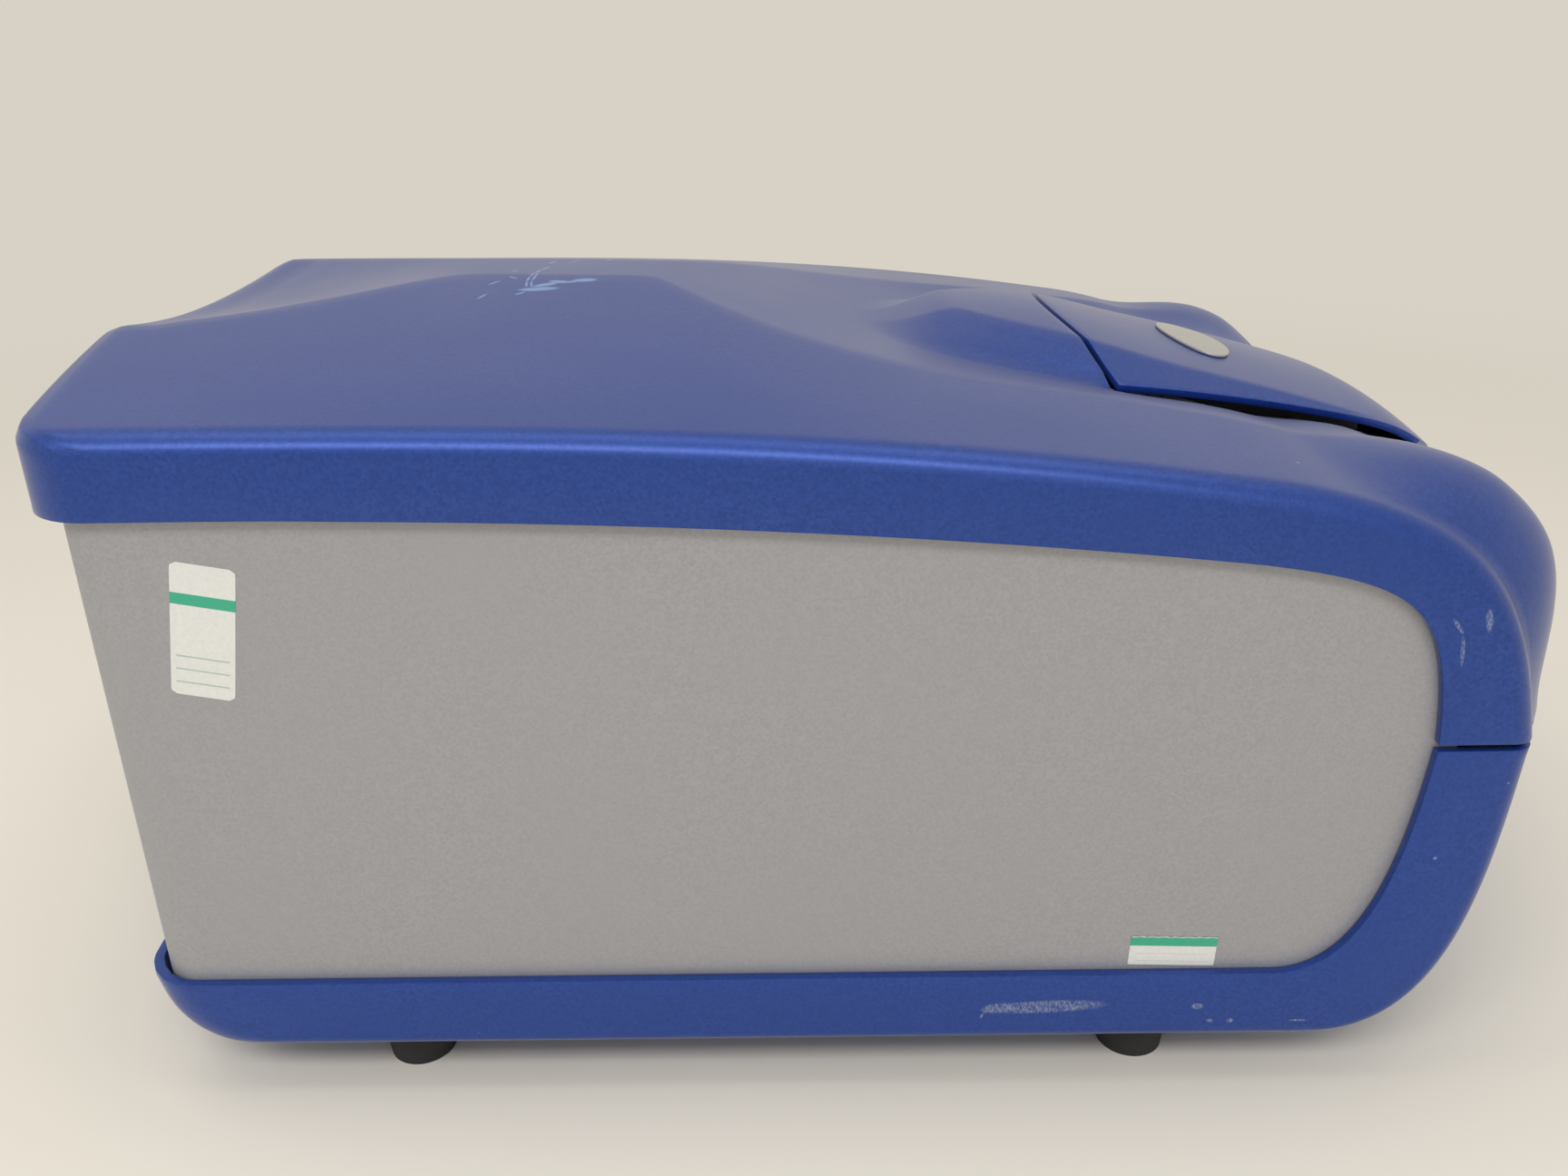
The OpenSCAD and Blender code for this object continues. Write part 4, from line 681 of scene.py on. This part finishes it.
def skirt_row(i):
    k = min(3, int(i))
    share, step = [mix(rear_steps[k][j], rear_steps[k + 1][j], i - k) for j in (0, 1)]

    def at(s, h):
        return [-s, side_rear - step + rear_plan(s, rear_bow), mix(band_z, rim_z + h, share)]

    return full_row([-half_w, side_rear - 8 - 6 * i, band_z], [at(s, h) for s, h in soft_edge(edge_h)],
                    [at(s, scoop_h(s, rear)) for s in cover_marks(rear, top_x(rear))])


def top_row(y, hood, e):
    bow = smooth(hood_tip + 60, side_rear, y)
    look = mix(y, rear, smooth(side_rear - 22, side_rear - 7, y))
    marks = cover_marks(look, e if e else top_x(look))
    back = 12 * smooth(side_rear - 70, side_rear - 30, y) + 13 * ramp(side_rear - 22, side_rear - 7, y)

    def at(s, h, shift):
        return [-s, y + bow * rear_plan(s, rear_bow) + shift, rim_height(y) + h]

    heights = [top_h(s, y, seam_shift(s, y), hood, look) - (1 - hood) * lid_dip(s, y) for s in marks]
    return full_row([-half_w, y - back, band_height(y)], [at(s, h, 0) for s, h in soft_edge(edge_h)],
                    [at(s, h, seam_shift(s, y)) for s, h in zip(marks, heights)])


def nose_row(t):
    k, n, band = bezier(nose_rim, t), square_off(nose_rim, t, smooth(0.7, 1, t)), bezier(nose_band, t)
    y, w = max(k[0], nose_y - 40), smooth(0.15, 0.55, t)
    bow = mix(front_bow - 4, front_bow + 3, smooth(0.45, 0.75, t)) - 3 * smooth(0.75, 1, t)
    full, rebate = mix(9, 4.5, smooth(0.6, 1, t)), 14 * (1 - smooth(0.6, 0.85, t))
    marks = cover_marks(y, open_x)
    dip = 1 - smooth(0.42, 0.57, t)
    heights = [mix(top_h(s, y, 0, 0, y), bowed(s, bow, full) - rebate * smooth(135, 74, s), w)
               - dip * lid_dip(s, y) for s in marks]
    return full_row([-half_w, *band], [[-s, *(k + n * h)] for s, h in soft_edge(mix(edge_h, edge_r, w))],
                    [[-s, *(k + n * h)] for s, h in zip(marks, heights)])


skirt = [skirt_row(i / 5) for i in range(21)]
top = [top_row(y, 1, None) for y in np.arange(side_rear - 9, hood_tip + 44, -3.5)]
hood = [top_row(y, 1, None) for y in np.linspace(hood_tip + 44, seam_y + lid_gap, 46)]
shelf = [top_row(y, 0, open_x) for y in (seam_y + 1.2, seam_y - 2, seam_y - 5, seam_y - 8, seam_y - 12)]
nose = [nose_row(i / 56) for i in range(57)]
cover_net = np.array(skirt + top + hood + shelf + nose)
seam_row = len(skirt) + len(top) + len(hood)
cols = cover_net.shape[1]
bay_col, bay_end = 3 + len(edge_turn) + 28, seam_row + len(shelf) + bay_rows
held = np.zeros(cover_net.shape[:2], bool)
held[[0, -1]] = True
held[:, :5] = held[:, -5:] = True
held[seam_row - 2:seam_row + 3, bay_col - 6:cols - bay_col + 6] = True
held[seam_row:bay_end + 2, bay_col - 1:cols - bay_col + 1] = True
top_cover = moulding("top_cover_moulding", soften(cover_net, 1, held), wall,
                     (seam_row, bay_end, bay_col, cols - 1 - bay_col))
top_cover.data.materials.append(blue_paint)
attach(top_cover, "casing")
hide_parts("top_cover")


# Lid: a thin painted moulding that carries the hood's surface on to the front, over the slide bay.
# Its rear edge bows back along the seam and its front edge bows forward over the nose.
lid_wall, least_drop, drop_fade = 2.6, 0.6, 0.073


def lid_point(s, d, lift):
    y0 = seam_y - d
    f, e = foot_x(y0), top_x(y0)
    y = y0 + mix(seam_bow, -lid_bow, d / lid_len) * (1 - (s / f) ** 2)
    return [-s, y, hood_z(s, y, e, f, max(least_drop, hood_drop - drop_fade * d)) + lift]


def lid_row(d):
    f, e = foot_x(seam_y - d), top_x(seam_y - d)
    marks = finer([f, (e + f) / 2, e, 0.8 * e, 0.55 * e, 0.28 * e, 0], [4, 4, 4, 4, 4, 4])
    return mirrored([np.array(lid_point(s, d, 0)) for s in marks])


lid_net = np.array([lid_row(d) for d in np.linspace(0.6, lid_len, 46)])
held = np.zeros(lid_net.shape[:2], bool)
held[[0, -1]] = True
held[:, [0, -1]] = True
lid = moulding("lid_moulding", soften(lid_net, 1, held), lid_wall, edge=0.5)
lid.data.materials.append(blue_paint)
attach(lid, "lid")
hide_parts("lid")


# Dust lip: a soft black rubber strip bonded under the lid's front edge, which hangs just clear of the nose.
# It keeps light and dust out of the slide bay when the lid is down.
nose_skin = BVHTree.FromPolygons([v.co for v in top_cover.data.vertices],
                                 [f.vertices[:] for f in top_cover.data.polygons])
lip_half_w, lip_inset, lip_clear, lip_deep, lip_root = 48.0, 9.0, 0.6, 16.0, 2.4
lip_net = []
for s in np.linspace(-lip_half_w, lip_half_w, 47):
    p = np.array(lid_point(abs(s), lid_len - lip_inset, -lip_root))
    p[0] = s
    under = nose_skin.ray_cast(Vector(p * 0.001), Vector((0, 0, -1)))[3]
    deep = min(lip_deep, under * 1000 - lip_clear) if under else lip_deep
    lip_net.append([p - [0, 0, deep * k / 4] for k in range(5)])
lip = moulding("lid_dust_lip", np.array(lip_net), 1.6, edge=0.3)
lip.data.materials.append(rubber)
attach(lip, "lid")


# Badge: a plain oval plate of satin nickel-plated metal, domed a little and stuck to the lid's crown.
# The satin comes from fine brushing across the oval; nothing is printed on it.
badge_l, badge_w, badge_d, badge_t = 58.0, 22.0, 42.0, 0.9
badge_run, badge_dome, badge_stand = 0.38 * badge_w, 0.45, 0.25
steps = 24
badge_net = []
for i in range(steps + 1):
    v = 2 * i / steps - 1
    row = []
    for j in range(steps + 1):
        u = 2 * j / steps - 1
        s = badge_l / 2 * u * math.sqrt(1 - v * v / 2)
        d = badge_run * v * math.sqrt(1 - u * u / 2)
        dome = badge_dome * (1 - min(1.0, (2 * s / badge_l) ** 2 + (d / badge_run) ** 2))
        p = lid_point(abs(s), badge_d + d, badge_t + badge_stand + dome)
        row.append([s, p[1], p[2]])
    badge_net.append(row)
badge = moulding("badge_plate", np.array(badge_net), badge_t, edge=0.3)
satin, tree, shader, place = start_material("satin_nickel_plate")
brushed = add(tree, "ShaderNodeMapping", {"Vector": place, "Scale": (1 / 0.004, 1 / 0.0004, 1 / 0.0004)})
brush = add(tree, "ShaderNodeTexNoise", {"Vector": brushed.outputs[0], "Scale": 1.0, "Detail": 3})
brush = brush.outputs["Fac"]
tone = add(tree, "ShaderNodeMix", {"Factor": brush, 6: linear("#b4b4b0"), 7: linear("#cfcfcb")},
           data_type="RGBA")
tree.links.new(tone.outputs[2], shader.inputs["Base Color"])
gloss = add(tree, "ShaderNodeMapRange", {"Value": brush, "To Min": 0.28, "To Max": 0.42})
tree.links.new(gloss.outputs[0], shader.inputs["Roughness"])
shader.inputs["Metallic"].default_value = 0.7
badge.data.materials.append(satin)
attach(badge, "lid")
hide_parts("lid_badge")


# Bench: a plain pale surface, which isn't part of the machine.
# It is a matt warm white, so the shadow under the base shows, and further out it fades into the room.
room_tone = linear("#d8d2c6")
bench = new_piece("bench", [(-6, -6, 0), (6, -6, 0), (6, 6, 0), (-6, 6, 0)], [(0, 1, 2, 3)])
bench_top, tree, shader, place = start_material("pale_bench_laminate")
mottle = add(tree, "ShaderNodeTexNoise", {"Vector": place, "Scale": 1 / 0.3, "Detail": 2}).outputs["Fac"]
tone = add(tree, "ShaderNodeMix", {"Factor": mottle, 6: linear("#f1eadc"), 7: linear("#f4ede0")},
           data_type="RGBA")
tree.links.new(tone.outputs[2], shader.inputs["Base Color"])
shader.inputs["Roughness"].default_value = 0.85
shader.inputs["Specular IOR Level"].default_value = 0.2
reach = add(tree, "ShaderNodeVectorMath", {0: place}, operation="LENGTH").outputs["Value"]
far = add(tree, "ShaderNodeMapRange", {"Value": reach, "From Min": 0.45, "From Max": 1.5},
          interpolation_type="SMOOTHSTEP").outputs[0]
glow = add(tree, "ShaderNodeEmission", {"Color": room_tone})
both = add(tree, "ShaderNodeMixShader", {0: far, 1: shader.outputs[0], 2: glow.outputs[0]})
tree.links.new(both.outputs[0], tree.nodes["Material Output"].inputs["Surface"])
bench.data.materials.append(bench_top)


# Light: a broad soft box above, a long key box high on the left, a weak one low at the left front, and a
# pale room all round. The room is the photograph's warm white where it is seen or mirrored.
def soft_box(name, spot, aim, size, power):
    lamp = bpy.data.lights.new(name, "AREA")
    lamp.shape, lamp.size, lamp.size_y, lamp.energy = "RECTANGLE", size[0], size[1], power
    holder = bpy.data.objects.new(name, lamp)
    back = np.array(spot, float) - np.array(aim, float)
    back /= np.linalg.norm(back)
    side = np.cross([0.0, 1.0, 0.02], back)
    side /= np.linalg.norm(side)
    up = np.cross(back, side)
    holder.matrix_world = Matrix((*[(side[i], up[i], back[i], spot[i]) for i in range(3)], (0, 0, 0, 1)))
    bpy.context.scene.collection.objects.link(holder)


soft_box("ceiling_box", (0.0, 0.1, 1.7), (0, 0, 0.1), (0.8, 2.0), 6)
soft_box("key_box", (-1.15, 0.25, 1.35), (0, 0, 0.15), (0.4, 1.8), 12)
soft_box("side_box", (-1.7, -0.5, 0.9), (0, 0, 0.1), (1.2, 1.2), 1.5)
world = bpy.data.worlds.new("pale_room")
bpy.context.scene.world = world
world.use_nodes = True
tree = world.node_tree
tree.nodes.clear()
path = add(tree, "ShaderNodeLightPath")
seen = add(tree, "ShaderNodeMath", {0: path.outputs["Is Camera Ray"], 1: path.outputs["Is Glossy Ray"]},
           operation="MAXIMUM")
seen = add(tree, "ShaderNodeMath", {0: seen.outputs[0], 1: path.outputs["Is Transmission Ray"]},
           operation="MAXIMUM")
room = add(tree, "ShaderNodeBackground", {"Color": room_tone, "Strength": 1.0})
fill = add(tree, "ShaderNodeBackground", {"Color": linear("#f2f1ee"), "Strength": 0.58})
shown = add(tree, "ShaderNodeMixShader", {0: seen.outputs[0], 1: fill.outputs[0], 2: room.outputs[0]})
add(tree, "ShaderNodeOutputWorld", {"Surface": shown.outputs[0]})


# Camera: set where the photograph was taken from, close to the left side and looking a little down.
# Its place, its turn and its focal length in pixels were solved from the machine's own edges.
focal_px, frame_px, sensor_w = 1395, 1728, 36.0
camera = bpy.data.cameras.new("photo_camera")
camera.sensor_fit, camera.sensor_width, camera.lens = "HORIZONTAL", sensor_w, sensor_w * focal_px / frame_px
camera.clip_start = 0.01
right = np.array([0.000357, -0.999889, -0.014852])
down = np.array([-0.379997, 0.013602, -0.924891])
ahead = np.array([0.924991, 0.005974, -0.37995])
stand = (-0.4730, 0.0092, 0.2976)
holder = bpy.data.objects.new("photo_camera", camera)
holder.matrix_world = Matrix((*[(right[i], -down[i], -ahead[i], stand[i]) for i in range(3)], (0, 0, 0, 1)))
bpy.context.scene.collection.objects.link(holder)
bpy.context.scene.camera = holder
bpy.context.scene.view_settings.view_transform = "Standard"
